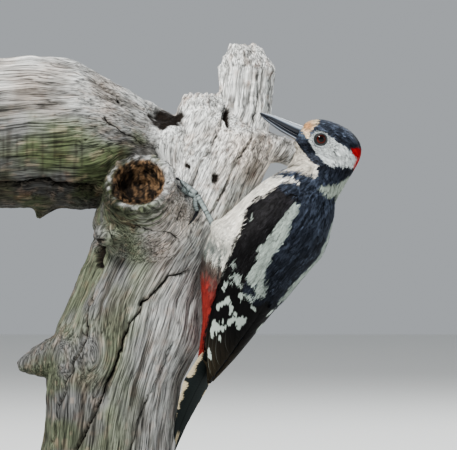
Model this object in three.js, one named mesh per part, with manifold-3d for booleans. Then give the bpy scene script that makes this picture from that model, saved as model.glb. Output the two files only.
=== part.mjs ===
// A life-size great spotted woodpecker, male, clinging to a cut length of dead
// trunk, on a plain display stand. Millimetres, +Z up. The bird's left side and
// back face -Y, its bill points to -X. The origin is under the stand's middle.
import * as THREE from "three";
import { mergeVertices } from "three/addons/utils/BufferGeometryUtils.js";
import Module from "manifold-3d";

const wasm = await Module();
wasm.setup();

// ---- Driving dimensions -------------------------------------------------

const GAP = 0.3; // between touching pieces
const SLIVER = 0.04; // edges shorter than this are closed up
const BODY_ROLL = 44; // degrees from -Y round to the middle of the bird's back

const PLINTH = { x: -38, y: 30, halfLength: 106, halfWidth: 76, height: 14, bevel: 2 };
const ROD = { x: -58, radius: 4, socket: 8, sides: 16, offset: 19 };
const SAWN_FOOT = 38; // height of the trunk's lower saw cut
const SAWN_LIMB = -133; // where the side limb is sawn off, along X
const SAW_SPARE = 20; // how far the trunk is drawn past its saw cut
const THINNEST = 0.25; // least radius of a tube

const EYE = { x: 73.3, z: 248.2, depth: 9, radius: 4.1 };
const TOE_RADII = [1.5, 1.25, 1.15];
const CLAW_RADII = [0.85, 0.75, 0.32];
const TARSUS_RADII = [1.9, 1.35, 1.7];
const CLEAR_OF_WOOD = 0.55; // between a toe and the bark under it

// ---- Colours ------------------------------------------------------------

const FINISH = {
  black: { color: 0x16171c, roughness: 0.55, metalness: 0 },
  white: { color: 0xe9e6dc, roughness: 0.8, metalness: 0 },
  horn: { color: 0x3b4048, roughness: 0.35, metalness: 0 },
  claw: { color: 0x24262b, roughness: 0.35, metalness: 0 },
  eye: { color: 0x3a0f0c, roughness: 0.1, metalness: 0 },
  foot: { color: 0x7d8784, roughness: 0.6, metalness: 0 },
  wood: { color: 0x9c9488, roughness: 0.85, metalness: 0 },
  plinth: { color: 0x2b2724, roughness: 0.45, metalness: 0 },
  steel: { color: 0x8d9196, roughness: 0.35, metalness: 0.9 },
};

// ---- Helpers ------------------------------------------------------------

const point = (x, y, z) => new THREE.Vector3(x, y, z);
const radians = THREE.MathUtils.degToRad;

// Rows between the stations, each column on a Catmull-Rom curve.
function between(stations, steps) {
  const last = stations.length - 1;
  const at = (j) => stations[Math.min(Math.max(j, 0), last)];
  const rows = [];
  for (let i = 0; i <= last * steps; i++) {
    const k = Math.min(Math.floor(i / steps), last - 1);
    const t = i / steps - k;
    rows.push(
      stations[0].map((_, c) => {
        const [a, b, d, e] = [at(k - 1)[c], at(k)[c], at(k + 1)[c], at(k + 2)[c]];
        const slope = (d - a) * t + (2 * a - 5 * b + 4 * d - e) * t * t;
        return b + 0.5 * (slope + (3 * b - a - 3 * d + e) * t * t * t);
      }),
    );
  }
  return rows;
}

// An ellipse of points about a centre, on two unit directions.
function ellipse(centre, first, second, halfFirst, halfSecond, sides) {
  return Array.from({ length: sides }, (_, i) => {
    const turn = (2 * Math.PI * i) / sides;
    return centre
      .clone()
      .addScaledVector(first, halfFirst * Math.cos(turn))
      .addScaledVector(second, halfSecond * Math.sin(turn));
  });
}

// A closed solid through rings that have the same number of points. Each end is closed
// by strips across its ring, which suits a crescent as well as a circle.
function skin(rings) {
  const sides = rings[0].length;
  const places = rings.flat();
  const faces = [];
  rings.slice(1).forEach((_, r) => {
    for (let i = 0; i < sides; i++) {
      const [a, b] = [r * sides + i, r * sides + ((i + 1) % sides)];
      faces.push(a, b, b + sides, a, b + sides, a + sides);
    }
  });
  [0, rings.length - 1].forEach((r) => {
    for (let i = 0, j = sides - 1; i + 1 < j; i++, j--) {
      const strip = i + 1 < j - 1 ? [[i, i + 1, j], [i + 1, j - 1, j]] : [[i, i + 1, j]];
      strip.forEach((triangle) => {
        const facing = r ? triangle : triangle.reverse();
        faces.push(...facing.map((corner) => r * sides + corner));
      });
    }
  });
  return solid(new THREE.BufferGeometry().setFromPoints(places).setIndex(faces));
}

// A manifold-3d solid from a closed geometry, facing out whichever way it came.
function solid(geometry) {
  const bare = geometry.clone();
  bare.deleteAttribute("normal");
  bare.deleteAttribute("uv");
  const merged = mergeVertices(bare, 1e-4);
  const make = (triVerts) =>
    new wasm.Manifold(
      new wasm.Mesh({
        numProp: 3,
        vertProperties: new Float32Array(merged.attributes.position.array),
        triVerts,
      }),
    );
  const corners = new Uint32Array(merged.index.array);
  const made = make(corners);
  return made.volume() < 0 ? make(corners.reverse()) : made;
}

function geometryOf(shape) {
  const { vertProperties, triVerts } = shape.getMesh();
  return new THREE.BufferGeometry()
    .setAttribute("position", new THREE.BufferAttribute(vertProperties, 3))
    .setIndex(new THREE.BufferAttribute(triVerts, 1));
}

// The same solid with every edge shorter than a sliver drawn together to one point.
function withoutSlivers(shape) {
  const geometry = geometryOf(shape.simplify(SLIVER));
  const { position } = geometry.attributes;
  const corners = geometry.index.array;
  const place = (i) => new THREE.Vector3().fromBufferAttribute(position, i);
  const heads = Uint32Array.from({ length: position.count }, (_, i) => i);
  const head = (i) => (heads[i] === i ? i : head(heads[i]));
  corners.forEach((first, i) => {
    const second = corners[i % 3 === 2 ? i - 2 : i + 1];
    if (place(first).distanceTo(place(second)) < SLIVER) heads[head(first)] = head(second);
  });
  const kept = [];
  for (let i = 0; i < corners.length; i += 3) {
    const triangle = Array.from(corners.slice(i, i + 3), head);
    if (new Set(triangle).size === 3) kept.push(...triangle);
  }
  return solid(geometry.setIndex(kept));
}

// A round tube along points, from one radius to another, with blunt ends.
function tube(points, radii, sides = 8, steps = 3, grow = 0) {
  const rows = between(points.map((p, i) => [...p.toArray(), radii[i]]), steps);
  const line = rows.map(([x, y, z]) => point(x, y, z));
  const rings = rows.map(([, , , radius], i) => {
    const ahead = line[Math.min(i + 1, line.length - 1)];
    const along = ahead.clone().sub(line[Math.max(i - 1, 0)]).normalize();
    const helper = Math.abs(along.z) < 0.8 ? point(0, 0, 1) : point(1, 0, 0);
    const first = helper.cross(along).normalize();
    const second = along.clone().cross(first);
    const end = i === 0 ? -1 : i === line.length - 1 ? 1 : 0;
    const centre = line[i].clone().addScaledVector(along, end * grow);
    const half = Math.max(radius, THINNEST) + grow;
    return ellipse(centre, first, second, half, half, sides);
  });
  return skin(rings);
}

// A block big enough to halve the bird, whose near face passes through a place.
function halfSpace(place, facing, setBack) {
  const size = 400;
  const block = new THREE.BoxGeometry(size, size, size);
  const turn = new THREE.Quaternion().setFromUnitVectors(point(0, 0, 1), facing);
  const centre = place.clone().addScaledVector(facing, size / 2 + setBack);
  return solid(block.applyQuaternion(turn).translate(...centre.toArray()));
}

// ---- Head, neck and torso -----------------------------------------------

// Sections of the body with its folded wings, from the neck to the wing tips:
// belly-side x, z and back-side x, z, half-depth along Y, middle y.
const OUTLINE_SECTIONS = [
  [63, 246, 90, 243, 9, 0],
  [58, 241, 95, 231.5, 12.5, 0],
  [56, 235.5, 88, 220, 15.5, 0],
  [48, 229, 82.8, 211.5, 19.5, -0.5],
  [38, 222.5, 82, 204, 23.5, -1],
  [28, 214, 80.3, 196, 26.5, -1],
  [18.5, 205, 77.7, 186.5, 28.5, -0.5],
  [10, 198, 73.6, 177.5, 29, 0],
  [5, 189, 66.5, 169.6, 28.5, 0.5],
  [1, 178, 58.8, 160.8, 26, 1],
  [0, 165, 50.2, 150.2, 22.5, 2],
  [1, 150, 40.6, 138.7, 18, 3.5],
  [1.5, 136, 30.8, 126.6, 13.5, 5],
  [1, 122, 20.4, 114.8, 9.5, 6.5],
  [2, 108, 11.5, 105.3, 6.5, 8],
  [3, 99, 6.5, 100.2, 4, 9.3],
];
// Where the wings begin, how deep the body lies under them, and over how many sections
// it sinks to that.
const FOLD = { first: 4, back: 3.6, side: 3.2, lead: 1.0, spread: 2 };
// The bare body under the wings, from the rump to the under-tail coverts' tips.
const RUMP_SECTIONS = [
  [0.2, 165, 45.5, 152.5, 19, 2],
  [1.2, 150, 33.5, 140.5, 14.5, 3.5],
  [1.7, 136, 21.5, 130, 10.5, 5],
  [0.8, 124, 14, 120, 7.5, 7],
  [-0.5, 115.5, 8, 112.5, 4, 9],
];
const RUMP_FROM = 10;
// The same for the head, from the nape to the bill's root: lower x, z, upper x, z.
const HEAD_SECTIONS = [
  [97, 236, 97.7, 241.5, 3.5, 0],
  [93.5, 229.5, 96.3, 246.5, 8.8, 0],
  [88, 226, 92.5, 251.8, 11.6, 0],
  [80.5, 225.5, 87, 255.6, 12.9, 0],
  [73, 227.5, 80.5, 258.8, 13.1, 0],
  [66, 232.5, 74.2, 260.4, 12.2, 0],
  [60.5, 238, 69, 260.2, 10.4, 0],
  [57, 244, 65.2, 259, 7.8, 0],
  [56, 247.4, 62.2, 257.2, 5, 0],
];

// The trunk of the bird without its wings, thinner by them on the back and sides.
const TORSO_SECTIONS = [
  ...OUTLINE_SECTIONS.slice(0, RUMP_FROM).map(([ax, az, bx, bz, half, y], i) => {
    const share = Math.min(Math.max((i - FOLD.first + FOLD.lead) / FOLD.spread, 0), 1);
    const inward = (share * FOLD.back) / Math.hypot(bx - ax, bz - az);
    const back = [bx + (ax - bx) * inward, bz + (az - bz) * inward];
    return [ax, az, ...back, half - share * FOLD.side, y];
  }),
  ...RUMP_SECTIONS,
];

function outlineLoft(sections, steps, sides, grow = 0) {
  const rings = between(sections, steps).map(([ax, az, bx, bz, half, y]) => {
    const across = point(bx - ax, 0, bz - az);
    const reach = across.length() / 2 + grow;
    const centre = point((ax + bx) / 2, y, (az + bz) / 2);
    return ellipse(centre, across.normalize(), point(0, 1, 0), reach, half + grow, sides);
  });
  return skin(rings);
}

const wholeBody = (grow = 0) =>
  outlineLoft(TORSO_SECTIONS, 1, 22, grow).add(outlineLoft(HEAD_SECTIONS, 2, 18, grow));

// Where the neck is parted from the head and from the torso.
const NAPE_CUT = { place: point(76, 0, 230), facing: point(0.42, 0, 0.91).normalize() };
const SHOULDER_CUT = { place: point(64, 0, 217), facing: point(0.5, 0, 0.87).normalize() };

// ---- Bill and eyes ------------------------------------------------------

// Sections from the root to the tip: lower x, z, upper x, z, half-width, y.
const UPPER_BILL = [
  [61.5, 249.7, 63.5, 256.2, 4.3, 0],
  [56, 252.4, 58.2, 257.9, 3.9, 0],
  [50, 255.9, 52, 260.2, 3.1, 0],
  [44, 259.6, 45.4, 262.6, 2.2, 0],
  [39.5, 262.2, 40.2, 264, 1.5, 0],
  [36.5, 263.7, 36.9, 264.6, 0.8, 0],
];
const LOWER_BILL = [
  [59, 245.9, 61.3, 249.3, 3.9, 0],
  [54.4, 249, 55.8, 252, 3.5, 0],
  [48.4, 252.8, 49.8, 255.5, 2.7, 0],
  [42.8, 257.1, 43.8, 259.2, 1.9, 0],
  [39, 260.4, 39.6, 261.8, 1.3, 0],
  [36.7, 262.6, 37, 263.3, 0.7, 0],
];
const billHalf = (sections, grow = 0) => outlineLoft(sections, 1, 14, grow);

function eyeball(side, grow = 0) {
  const ball = new THREE.SphereGeometry(EYE.radius + grow, 14, 9);
  return solid(ball.translate(EYE.x, side * EYE.depth, EYE.z));
}

// ---- Wings and tail -----------------------------------------------------

// For each section of the outline from FOLD.first on: degrees from the mid-back to
// the folded wing's lower and upper edge, and its thickness.
const WING_EDGES = [
  [84, 33, 1.5],
  [89, 21, 2.4],
  [86, 10, 2.8],
  [76, 5, 3],
  [73, 3.5, 3],
  [71, 3, 3],
  [75, 2.5, 3],
  [84, 2.5, 3],
  [90, 2.5, 2.8],
  [90, 3, 2.4],
  [84, 4, 1.9],
  [60, 10, 1.4],
];
const WING_ARC_STEPS = 6;
const FEATHER_EDGE = 0.8; // thickness at a wing's edges

function wing(side, grow = 0) {
  const stations = WING_EDGES.map((edge, i) => [
    ...OUTLINE_SECTIONS[FOLD.first + i],
    ...edge,
  ]);
  const rows = between(stations, 1);
  const rings = rows.map(([ax, az, bx, bz, half, y, low, high, thick], r) => {
    const across = point(bx - ax, 0, bz - az);
    const reach = across.length() / 2;
    across.normalize();
    const along = point(-across.z, 0, across.x);
    const end = (r === 0 ? 1 : r === rows.length - 1 ? -1 : 0) * grow;
    const centre = point((ax + bx) / 2, y, (az + bz) / 2).addScaledVector(along, end);
    const spread = (grow / Math.min(reach, half)) * THREE.MathUtils.RAD2DEG;
    const arc = (depthAt) =>
      Array.from({ length: WING_ARC_STEPS + 1 }, (_, i) => {
        const t = i / WING_ARC_STEPS;
        const turn = radians(
          BODY_ROLL - side * THREE.MathUtils.lerp(low + spread, high - spread, t),
        );
        const depth = depthAt(Math.sin(Math.PI * t) ** 0.6);
        return centre
          .clone()
          .addScaledVector(across, (reach - depth) * Math.sin(turn))
          .add(point(0, -(half - depth) * Math.cos(turn), 0));
      });
    const outer = arc(() => -grow);
    const inner = arc((t) => FEATHER_EDGE + (thick - FEATHER_EDGE) * t + grow);
    return [...outer, ...inner.reverse()];
  });
  return skin(rings);
}

// Tail, from under the rump to the tip: x, y, z, half-width, half-thickness.
const TAIL_SECTIONS = [
  [9, 7.5, 121, 8, 2.2],
  [4.5, 9.5, 110, 10, 2],
  [-3, 12.5, 95, 10.6, 1.7],
  [-7.8, 15.2, 85, 9.2, 1.5],
  [-12, 18, 75, 7, 1.3],
  [-15.2, 20.4, 65, 4.2, 1],
  [-17, 22.2, 57, 1.6, 0.6],
];

// The bird's own left, square to its back, where the tail lies.
const LEFT = point(
  -Math.cos(radians(25)) * Math.cos(radians(BODY_ROLL)),
  -Math.sin(radians(BODY_ROLL)),
  Math.sin(radians(25)) * Math.cos(radians(BODY_ROLL)),
).normalize();

function tail(grow = 0) {
  const rows = between(TAIL_SECTIONS, 1);
  const rings = rows.map(([x, y, z, half, thick], r) => {
    const [before, after] = [rows[Math.max(r - 1, 0)], rows[Math.min(r + 1, rows.length - 1)]];
    const along = point(...before.slice(0, 3)).sub(point(...after.slice(0, 3))).normalize();
    const back = LEFT.clone().cross(along).negate().normalize();
    const end = (r === 0 ? 1 : r === rows.length - 1 ? -1 : 0) * grow;
    const centre = point(x, y, z).addScaledVector(along, end);
    return ellipse(centre, LEFT, back, half + grow, thick + grow, 12);
  });
  return skin(rings);
}

// ---- Trunk --------------------------------------------------------------

// Each section: x, y, z, half-width, half-depth.
const TRUNK_SECTIONS = [
  [-60, 28, SAWN_FOOT - SAW_SPARE, 39, 35],
  [-56.5, 28, 60, 41.2, 35],
  [-54.5, 29, 80, 40, 35],
  [-52.5, 30, 100, 41, 36],
  [-45, 31, 127, 44, 37],
  [-38.5, 34, 150, 42.6, 36],
  [-27.5, 38, 175, 42.4, 35],
  [-19, 41, 195, 43, 34],
  [-9, 43, 215, 42, 32],
  [4, 45, 235, 38.5, 28],
  [11, 46, 252, 32, 23],
  [4, 46, 266, 18, 16],
  [1, 46, 275, 11, 9],
];
const TOP_SNAG = [
  [18, 46, 235, 20, 16],
  [27, 47, 258, 16.5, 14],
  [28.5, 48, 278, 15.6, 12],
  [29, 48, 292, 17.6, 11],
  [27, 48, 301, 12.5, 8],
  [26.5, 48, 306.5, 8, 5],
];
const WEATHERING = { ridges: [5, 9], share: [0.02, 0.014], pitch: 31 };

function weathered(sections, sides, seed) {
  const rings = between(sections, 1).map(([x, y, z, halfX, halfY]) =>
    Array.from({ length: sides }, (_, i) => {
      const turn = (2 * Math.PI * i) / sides;
      const ridge = WEATHERING.ridges.reduce((sum, n, k) => {
        const phase = seed * (k + 1) + z / WEATHERING.pitch;
        return sum + WEATHERING.share[k] * Math.sin(n * turn + phase);
      }, 1);
      const [across, deep] = [halfX * ridge * Math.cos(turn), halfY * ridge * Math.sin(turn)];
      return point(x + across, y + deep, z);
    }),
  );
  return skin(rings);
}

// The thick side limb, which leaves the trunk to -X and is sawn off short:
// x, y, z, half-height, half-depth.
const LIMB_SECTIONS = [
  [-2, 46, 232, 24, 22],
  [-20, 46, 236, 30, 26],
  [-36, 46, 238.5, 36.5, 30],
  [-47, 45, 243.5, 38.5, 32],
  [-62, 45, 248.5, 42, 35],
  [-76, 44, 251, 45.5, 37],
  [-104, 43, 253, 47, 38],
  [SAWN_LIMB, 43, 252, 45.5, 37],
];

function limb() {
  const rings = between(LIMB_SECTIONS, 1).map(([x, y, z, halfZ, halfY]) =>
    ellipse(point(x, y, z), point(0, 0, 1), point(0, 1, 0), halfZ, halfY, 20),
  );
  return skin(rings);
}

// The broken branch's collar, with its rotten hollow, and the rest of the snags.
const COLLAR = { rim: point(-37.2, -13, 222), axis: point(-0.13, -0.83, 0.54).normalize() };

function collarTube(depths, radii, sides) {
  const second = point(0, -COLLAR.axis.z, COLLAR.axis.y).normalize();
  const square = second.clone().cross(COLLAR.axis).normalize();
  const rings = depths.map((depth, i) => {
    const centre = COLLAR.rim.clone().addScaledVector(COLLAR.axis, -depth);
    return ellipse(centre, square, second, radii[i], radii[i], sides);
  });
  return skin(rings);
}
const collar = () => collarTube([0, 4, 12, 28, 46], [19.5, 22, 22.5, 27, 34], 18);
const collarHollow = () => collarTube([-3, 2, 8, 14], [17.2, 15.2, 12.5, 8], 14);

function blob(x, y, z, halfX, halfY, halfZ) {
  return solid(new THREE.SphereGeometry(1, 12, 8).scale(halfX, halfY, halfZ).translate(x, y, z));
}

const snags = () => [
  tube([point(-70, 32, 116), point(-87, 30, 115), point(-100, 28, 113), point(-110, 27, 110)],
    [22, 15, 9, 2.5], 12, 2),
  tube([point(-46, 22, 190), point(-52, 8, 191), point(-58, 0, 196)], [13, 9, 3], 10, 2),
  tube([point(30, 47, 246), point(44, 50, 244), point(58, 54, 240), point(70, 58, 237)],
    [14, 10, 8.5, 6.5], 12, 2),
  tube([point(-92, 44, 214), point(-98, 44, 206), point(-100, 44, 200)], [12, 6, 2], 8, 2),
];

function trunkWhole() {
  return [weathered(TOP_SNAG, 14, 2.2), limb(), collar(), ...snags()]
    .reduce((made, piece) => made.add(piece), weathered(TRUNK_SECTIONS, 22, 0.6))
    .subtract(collarHollow())
    .subtract(blob(-22, 20, 266, 11, 18, 9))
    .subtract(halfSpace(point(0, 0, SAWN_FOOT), point(0, 0, -1), 0));
}

// ---- Legs ---------------------------------------------------------------

// Thigh, heel and ball of each foot, with the way its toes face out of the wood.
const LEGS = {
  left: {
    thigh: [point(28, -16, 181), point(17.5, -12.2, 189.5), point(9, -2, 197.2)],
    thighRadii: [8.5, 9, 3.4],
    heel: point(7.6, 3, 197.5),
    ball: point(0.3, 0, 214),
    outward: point(0.25, -0.97, 0).normalize(),
    toSide: point(-1, 0, 0),
  },
  right: {
    thigh: [point(37, 20, 182), point(35, 31, 187), point(31.5, 38, 192)],
    thighRadii: [9, 9, 3.6],
    heel: point(31, 39, 193),
    ball: point(24, 52, 205),
    outward: point(0.86, 0.5, 0).normalize(),
    toSide: point(-0.5, 0.86, 0),
  },
};
// Toes by number, each a path of steps sideways and up from the ball of the foot.
const TOES = {
  1: { path: [[0, 0], [-2.5, -4], [-4.5, -7.5]], claw: [-5.5, -12] },
  2: { path: [[0, 0.8], [5, 5.5], [9.5, 9]], claw: [14, 11.5] },
  3: { path: [[0, 0], [5, 1.8], [11, 4.8]], claw: [16.5, 6.2] },
  4: { path: [[0, 0], [1, -5], [-0.2, -9.5]], claw: [7, -18] },
};
const CLAW_ARCH = { at: 0.45, rise: 2.2 };
const RAY_START = 60; // how far outside the bird's foot a place on the wood is sought

const caster = new THREE.Raycaster();

// The wood's surface under a place, seen from outside along -outward.
function onWood(target, place, outward) {
  const start = place.clone().addScaledVector(outward, RAY_START);
  caster.set(start, outward.clone().negate());
  const [hit] = caster.intersectObject(target);
  if (!hit) throw new Error(`no wood under ${place.toArray()}`);
  return hit.point;
}

function legParts(target, { thigh, thighRadii, heel, ball, outward, toSide }) {
  const up = outward.clone().cross(toSide);
  if (up.z < 0) up.negate();
  const rest = (side, rise, lift) => {
    const over = ball.clone().addScaledVector(toSide, side).addScaledVector(up, rise);
    return onWood(target, over, outward).addScaledVector(outward, lift);
  };
  const foot = rest(0, 0, TARSUS_RADII[2] + CLEAR_OF_WOOD);
  const parts = {
    thigh: (grow) => tube(thigh, thighRadii, 14, 2, grow),
    tarsus: (grow) =>
      tube([heel, heel.clone().lerp(foot, 0.5), foot], TARSUS_RADII, 8, 2, grow),
  };
  Object.entries(TOES).forEach(([number, { path, claw }]) => {
    const joints = path.map(([side, rise], i) =>
      rest(side, rise, TOE_RADII[i] + CLEAR_OF_WOOD),
    );
    const pad = joints[joints.length - 1];
    const tip = rest(...claw, CLAW_RADII[2] + CLEAR_OF_WOOD);
    const arch = pad.clone().lerp(tip, CLAW_ARCH.at).addScaledVector(outward, CLAW_ARCH.rise);
    const lead = tip.clone().sub(pad).normalize();
    const root = pad.clone().addScaledVector(lead, TOE_RADII[2] + GAP);
    parts[`toe_${number}`] = (grow) => tube(joints, TOE_RADII, 7, 2, grow);
    parts[`claw_${number}`] = (grow) => tube([root, arch, tip], CLAW_RADII, 6, 2, grow);
  });
  return parts;
}

// ---- Stand --------------------------------------------------------------

function plinth() {
  const { halfLength, halfWidth, height, bevel } = PLINTH;
  const oval = new THREE.Shape().absellipse(0, 0, halfLength - bevel, halfWidth - bevel);
  const slab = new THREE.ExtrudeGeometry(oval, {
    depth: height - bevel,
    bevelSize: bevel,
    bevelThickness: bevel,
    bevelSegments: 1,
    curveSegments: 18,
  });
  const whole = solid(slab.translate(PLINTH.x, PLINTH.y, 0));
  return whole.subtract(halfSpace(point(0, 0, 0), point(0, 0, -1), 0));
}

function rod(side, grow = 0) {
  const [low, high] = [PLINTH.height - ROD.socket, SAWN_FOOT + ROD.socket];
  const bar = new THREE.CylinderGeometry(
    ROD.radius + grow, ROD.radius + grow, high - low + 2 * grow, ROD.sides,
  );
  bar.rotateX(Math.PI / 2);
  return solid(bar.translate(ROD.x + side * ROD.offset, PLINTH.y, (low + high) / 2));
}

// ---- Assembly -----------------------------------------------------------

const group = new THREE.Group();
group.position.set(-PLINTH.x, -PLINTH.y, 0);

function show(name, shape, finish) {
  const mesh = new THREE.Mesh(
    geometryOf(shape),
    new THREE.MeshStandardMaterial(FINISH[finish]),
  );
  mesh.name = name;
  group.add(mesh);
}

const timber = trunkWhole();
const target = new THREE.Mesh(
  geometryOf(timber),
  new THREE.MeshStandardMaterial({ side: THREE.DoubleSide }),
);
const legs = { left: legParts(target, LEGS.left), right: legParts(target, LEGS.right) };

// The body, bedded under the wings and open for the eyes and the bill.
const beds = [
  wing(1, GAP), wing(-1, GAP), eyeball(1, GAP), eyeball(-1, GAP),
  billHalf(UPPER_BILL, GAP), billHalf(LOWER_BILL, GAP), tail(GAP),
  legs.left.thigh(GAP), legs.right.thigh(GAP),
];
const body = beds.reduce((made, bed) => made.subtract(bed), wholeBody());
// The main piece of a cut shape, with the slivers along its cuts closed up.
const largest = (shape) =>
  withoutSlivers(shape.decompose().sort((a, b) => b.volume() - a.volume())[0]);
const above = (cut) => halfSpace(cut.place, cut.facing, GAP / 2);
const below = (cut) => halfSpace(cut.place, cut.facing.clone().negate(), GAP / 2);
show("head", largest(body.intersect(above(NAPE_CUT))), "black");
show("neck", largest(body.intersect(below(NAPE_CUT)).intersect(above(SHOULDER_CUT))), "black");
show("torso", largest(body.intersect(below(SHOULDER_CUT))), "white");
show("bill_upper", billHalf(UPPER_BILL), "horn");
show("bill_lower", billHalf(LOWER_BILL), "horn");
show("eye_left", eyeball(-1), "eye");
show("eye_right", eyeball(1), "eye");
show("tail", tail(), "black");

// Each wing in three: the shoulder with its coverts, secondaries and primaries.
const WING_CUTS = {
  coverts: { place: point(41, 0, 186), facing: point(0.45, 0, 0.89).normalize() },
  secondaries: { place: point(17, 0, 139), facing: point(0.38, 0, 0.92).normalize() },
};
[["left", 1], ["right", -1]].forEach(([name, side]) => {
  const whole = wing(side).subtract(tail(GAP));
  const { coverts, secondaries } = WING_CUTS;
  const middle = whole.intersect(below(coverts)).intersect(above(secondaries));
  show(`wing_${name}_coverts`, largest(whole.intersect(above(coverts))), "black");
  show(`wing_${name}_secondaries`, largest(middle), "black");
  show(`wing_${name}_primaries`, largest(whole.intersect(below(secondaries))), "black");
});

// Legs, each piece cut back from those it grows out of.
const LEG_FINISH = { thigh: "white", tarsus: "foot", toe: "foot", claw: "claw" };
Object.entries(legs).forEach(([side, parts]) => {
  const placed = [wing(side === "left" ? 1 : -1, GAP)];
  Object.entries(parts).forEach(([name, make]) => {
    const clear = placed.reduce((made, other) => made.subtract(other), make(0));
    if (name === "thigh") placed.push(wholeBody(GAP));
    show(`${name.replace("_", `_${side}_`)}${name.includes("_") ? "" : `_${side}`}`,
      largest(clear), LEG_FINISH[name.split("_")[0]]);
    placed.push(make(GAP));
  });
});

// The wood, kept clear of all that grips or leans on it, and of the rods.
const leaning = [
  wholeBody(GAP), tail(GAP), wing(1, GAP), wing(-1, GAP), rod(-1, GAP), rod(1, GAP),
  ...Object.values(legs).flatMap((parts) => Object.values(parts).map((make) => make(GAP))),
];
const perch = leaning.reduce((made, piece) => made.subtract(piece), timber);
show("perch", largest(perch), "wood");

const foot = [rod(-1, GAP), rod(1, GAP)].reduce((made, bar) => made.subtract(bar), plinth());
show("stand_base", foot, "plinth");
show("stand_rod_left", rod(-1), "steel");
show("stand_rod_right", rod(1), "steel");

const root = new THREE.Group();
root.add(group);
export default root;
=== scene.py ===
"""A life-size great spotted woodpecker on a cut trunk, dressed with plumage, wood and light.

Lengths in the tables are millimetres in the bird's own frame, in which the middle of
its head lies on y = 0; metres() and millimetres() go between that and the row frame.
"""

import math

import bpy
import numpy as np
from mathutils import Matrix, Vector
from mathutils.bvhtree import BVHTree


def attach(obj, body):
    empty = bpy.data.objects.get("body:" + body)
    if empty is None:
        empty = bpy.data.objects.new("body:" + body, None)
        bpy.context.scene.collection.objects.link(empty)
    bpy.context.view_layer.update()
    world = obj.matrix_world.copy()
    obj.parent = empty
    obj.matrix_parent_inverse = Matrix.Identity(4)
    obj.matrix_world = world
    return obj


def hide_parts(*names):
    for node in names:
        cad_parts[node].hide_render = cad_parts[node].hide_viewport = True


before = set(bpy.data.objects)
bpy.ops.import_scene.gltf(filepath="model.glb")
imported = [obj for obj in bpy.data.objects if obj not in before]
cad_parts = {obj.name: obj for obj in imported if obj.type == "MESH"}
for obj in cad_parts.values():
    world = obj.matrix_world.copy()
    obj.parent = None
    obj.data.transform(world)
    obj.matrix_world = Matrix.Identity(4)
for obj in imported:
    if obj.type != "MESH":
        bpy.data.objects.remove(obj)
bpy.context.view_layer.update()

SEED = 11
SHIFT = np.array([38.0, -30.0, 0.0])  # the bird's frame inside the row frame, mm

# ---- The bird's body, as in the solids -----------------------------------------

# Belly-side x, z, back-side x, z, half-depth along Y and middle y of each section,
# from the neck to the wing tips.
SECTIONS = np.array([
    [63, 246, 90, 243, 9, 0],
    [58, 241, 95, 231.5, 12.5, 0],
    [56, 235.5, 88, 220, 15.5, 0],
    [48, 229, 82.8, 211.5, 19.5, -0.5],
    [38, 222.5, 82, 204, 23.5, -1],
    [28, 214, 80.3, 196, 26.5, -1],
    [18.5, 205, 77.7, 186.5, 28.5, -0.5],
    [10, 198, 73.6, 177.5, 29, 0],
    [5, 189, 66.5, 169.6, 28.5, 0.5],
    [1, 178, 58.8, 160.8, 26, 1],
    [0, 165, 50.2, 150.2, 22.5, 2],
    [1, 150, 40.6, 138.7, 18, 3.5],
    [1.5, 136, 30.8, 126.6, 13.5, 5],
    [1, 122, 20.4, 114.8, 9.5, 6.5],
    [2, 108, 11.5, 105.3, 6.5, 8],
    [3, 99, 6.5, 100.2, 4, 9.3],
])
BODY_LINE = (SECTIONS[:, 0:2] + SECTIONS[:, 2:4]) / 2  # the middle of each: x, z
BODY_ROLL = 44.0  # degrees from the camera's side round to the middle of the back
ROLL_FROM, ROLL_TO = 1.0, 4.0  # sections between which the neck twists to that from 90
# A place between head and neck, and the way from there to the head.
HEAD_PLANE = np.array([76.0, 0.0, 230.0]), np.array([0.42, 0.0, 0.91])

# The line that the plumage follows from the bill's root to the vent: x, z.
LIE = np.array([
    [58, 253], [66, 250], [76, 246], [84, 241], [85, 234], [79, 226], [70, 216],
    [60, 203], [49, 190], [38, 175], [28, 158], [19, 140], [10, 120], [0, 98],
], float)

# ---- Markings on the left side, as seen square on to the head: x, z ------------

FOREHEAD = [(61, 255.2), (61.1, 258.4), (64, 262), (72.4, 262), (71.8, 258), (70.2, 256.2),
            (68.9, 254.9), (67.4, 253.4), (66.8, 251.4), (66.4, 249.6), (65.1, 248.3),
            (63.9, 249.8), (62.6, 251.6), (61.7, 253.4)]
BILL_ROOT = [(57, 256), (60.8, 255.4), (61.7, 253.2), (64.2, 249.6), (65.2, 247.4),
             (62.6, 248.8), (57, 252)]
BROW = [(66.6, 249.4), (67.6, 251), (68.7, 252.2), (70.7, 253.1), (74.2, 253), (76.3, 252),
        (78.3, 250.2), (80.8, 248.4), (83, 246.4), (84, 245.2), (80.6, 246.4), (78.1, 248.6),
        (76, 250.8), (73.7, 251.8), (70.7, 252), (68.9, 251), (67.9, 249.6)]
CHEEK = [(65.1, 248.9), (66, 246.2), (67.8, 243.4), (69.5, 240.7), (71.6, 238),
         (73.9, 235.4), (76, 233.4), (78.8, 232.2), (81.3, 232), (83.8, 233), (86.4, 231.6),
         (88.4, 232.4), (90.1, 232.6), (91.9, 230.8), (92.9, 232.2), (94.2, 234.7),
         (95.2, 236.5), (93.7, 238.2), (92.2, 240.2), (90.1, 242.3), (87.4, 244),
         (83.8, 245.2), (80, 247), (77, 249.6), (71, 250.6), (67, 249.4)]
NAPE = [(89.8, 243.2), (92.4, 243), (95, 243.9), (97, 243.2), (101, 243), (100, 227),
        (94.4, 229), (93.3, 232), (93.9, 234.8), (94.9, 236.8), (92.6, 240)]
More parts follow.
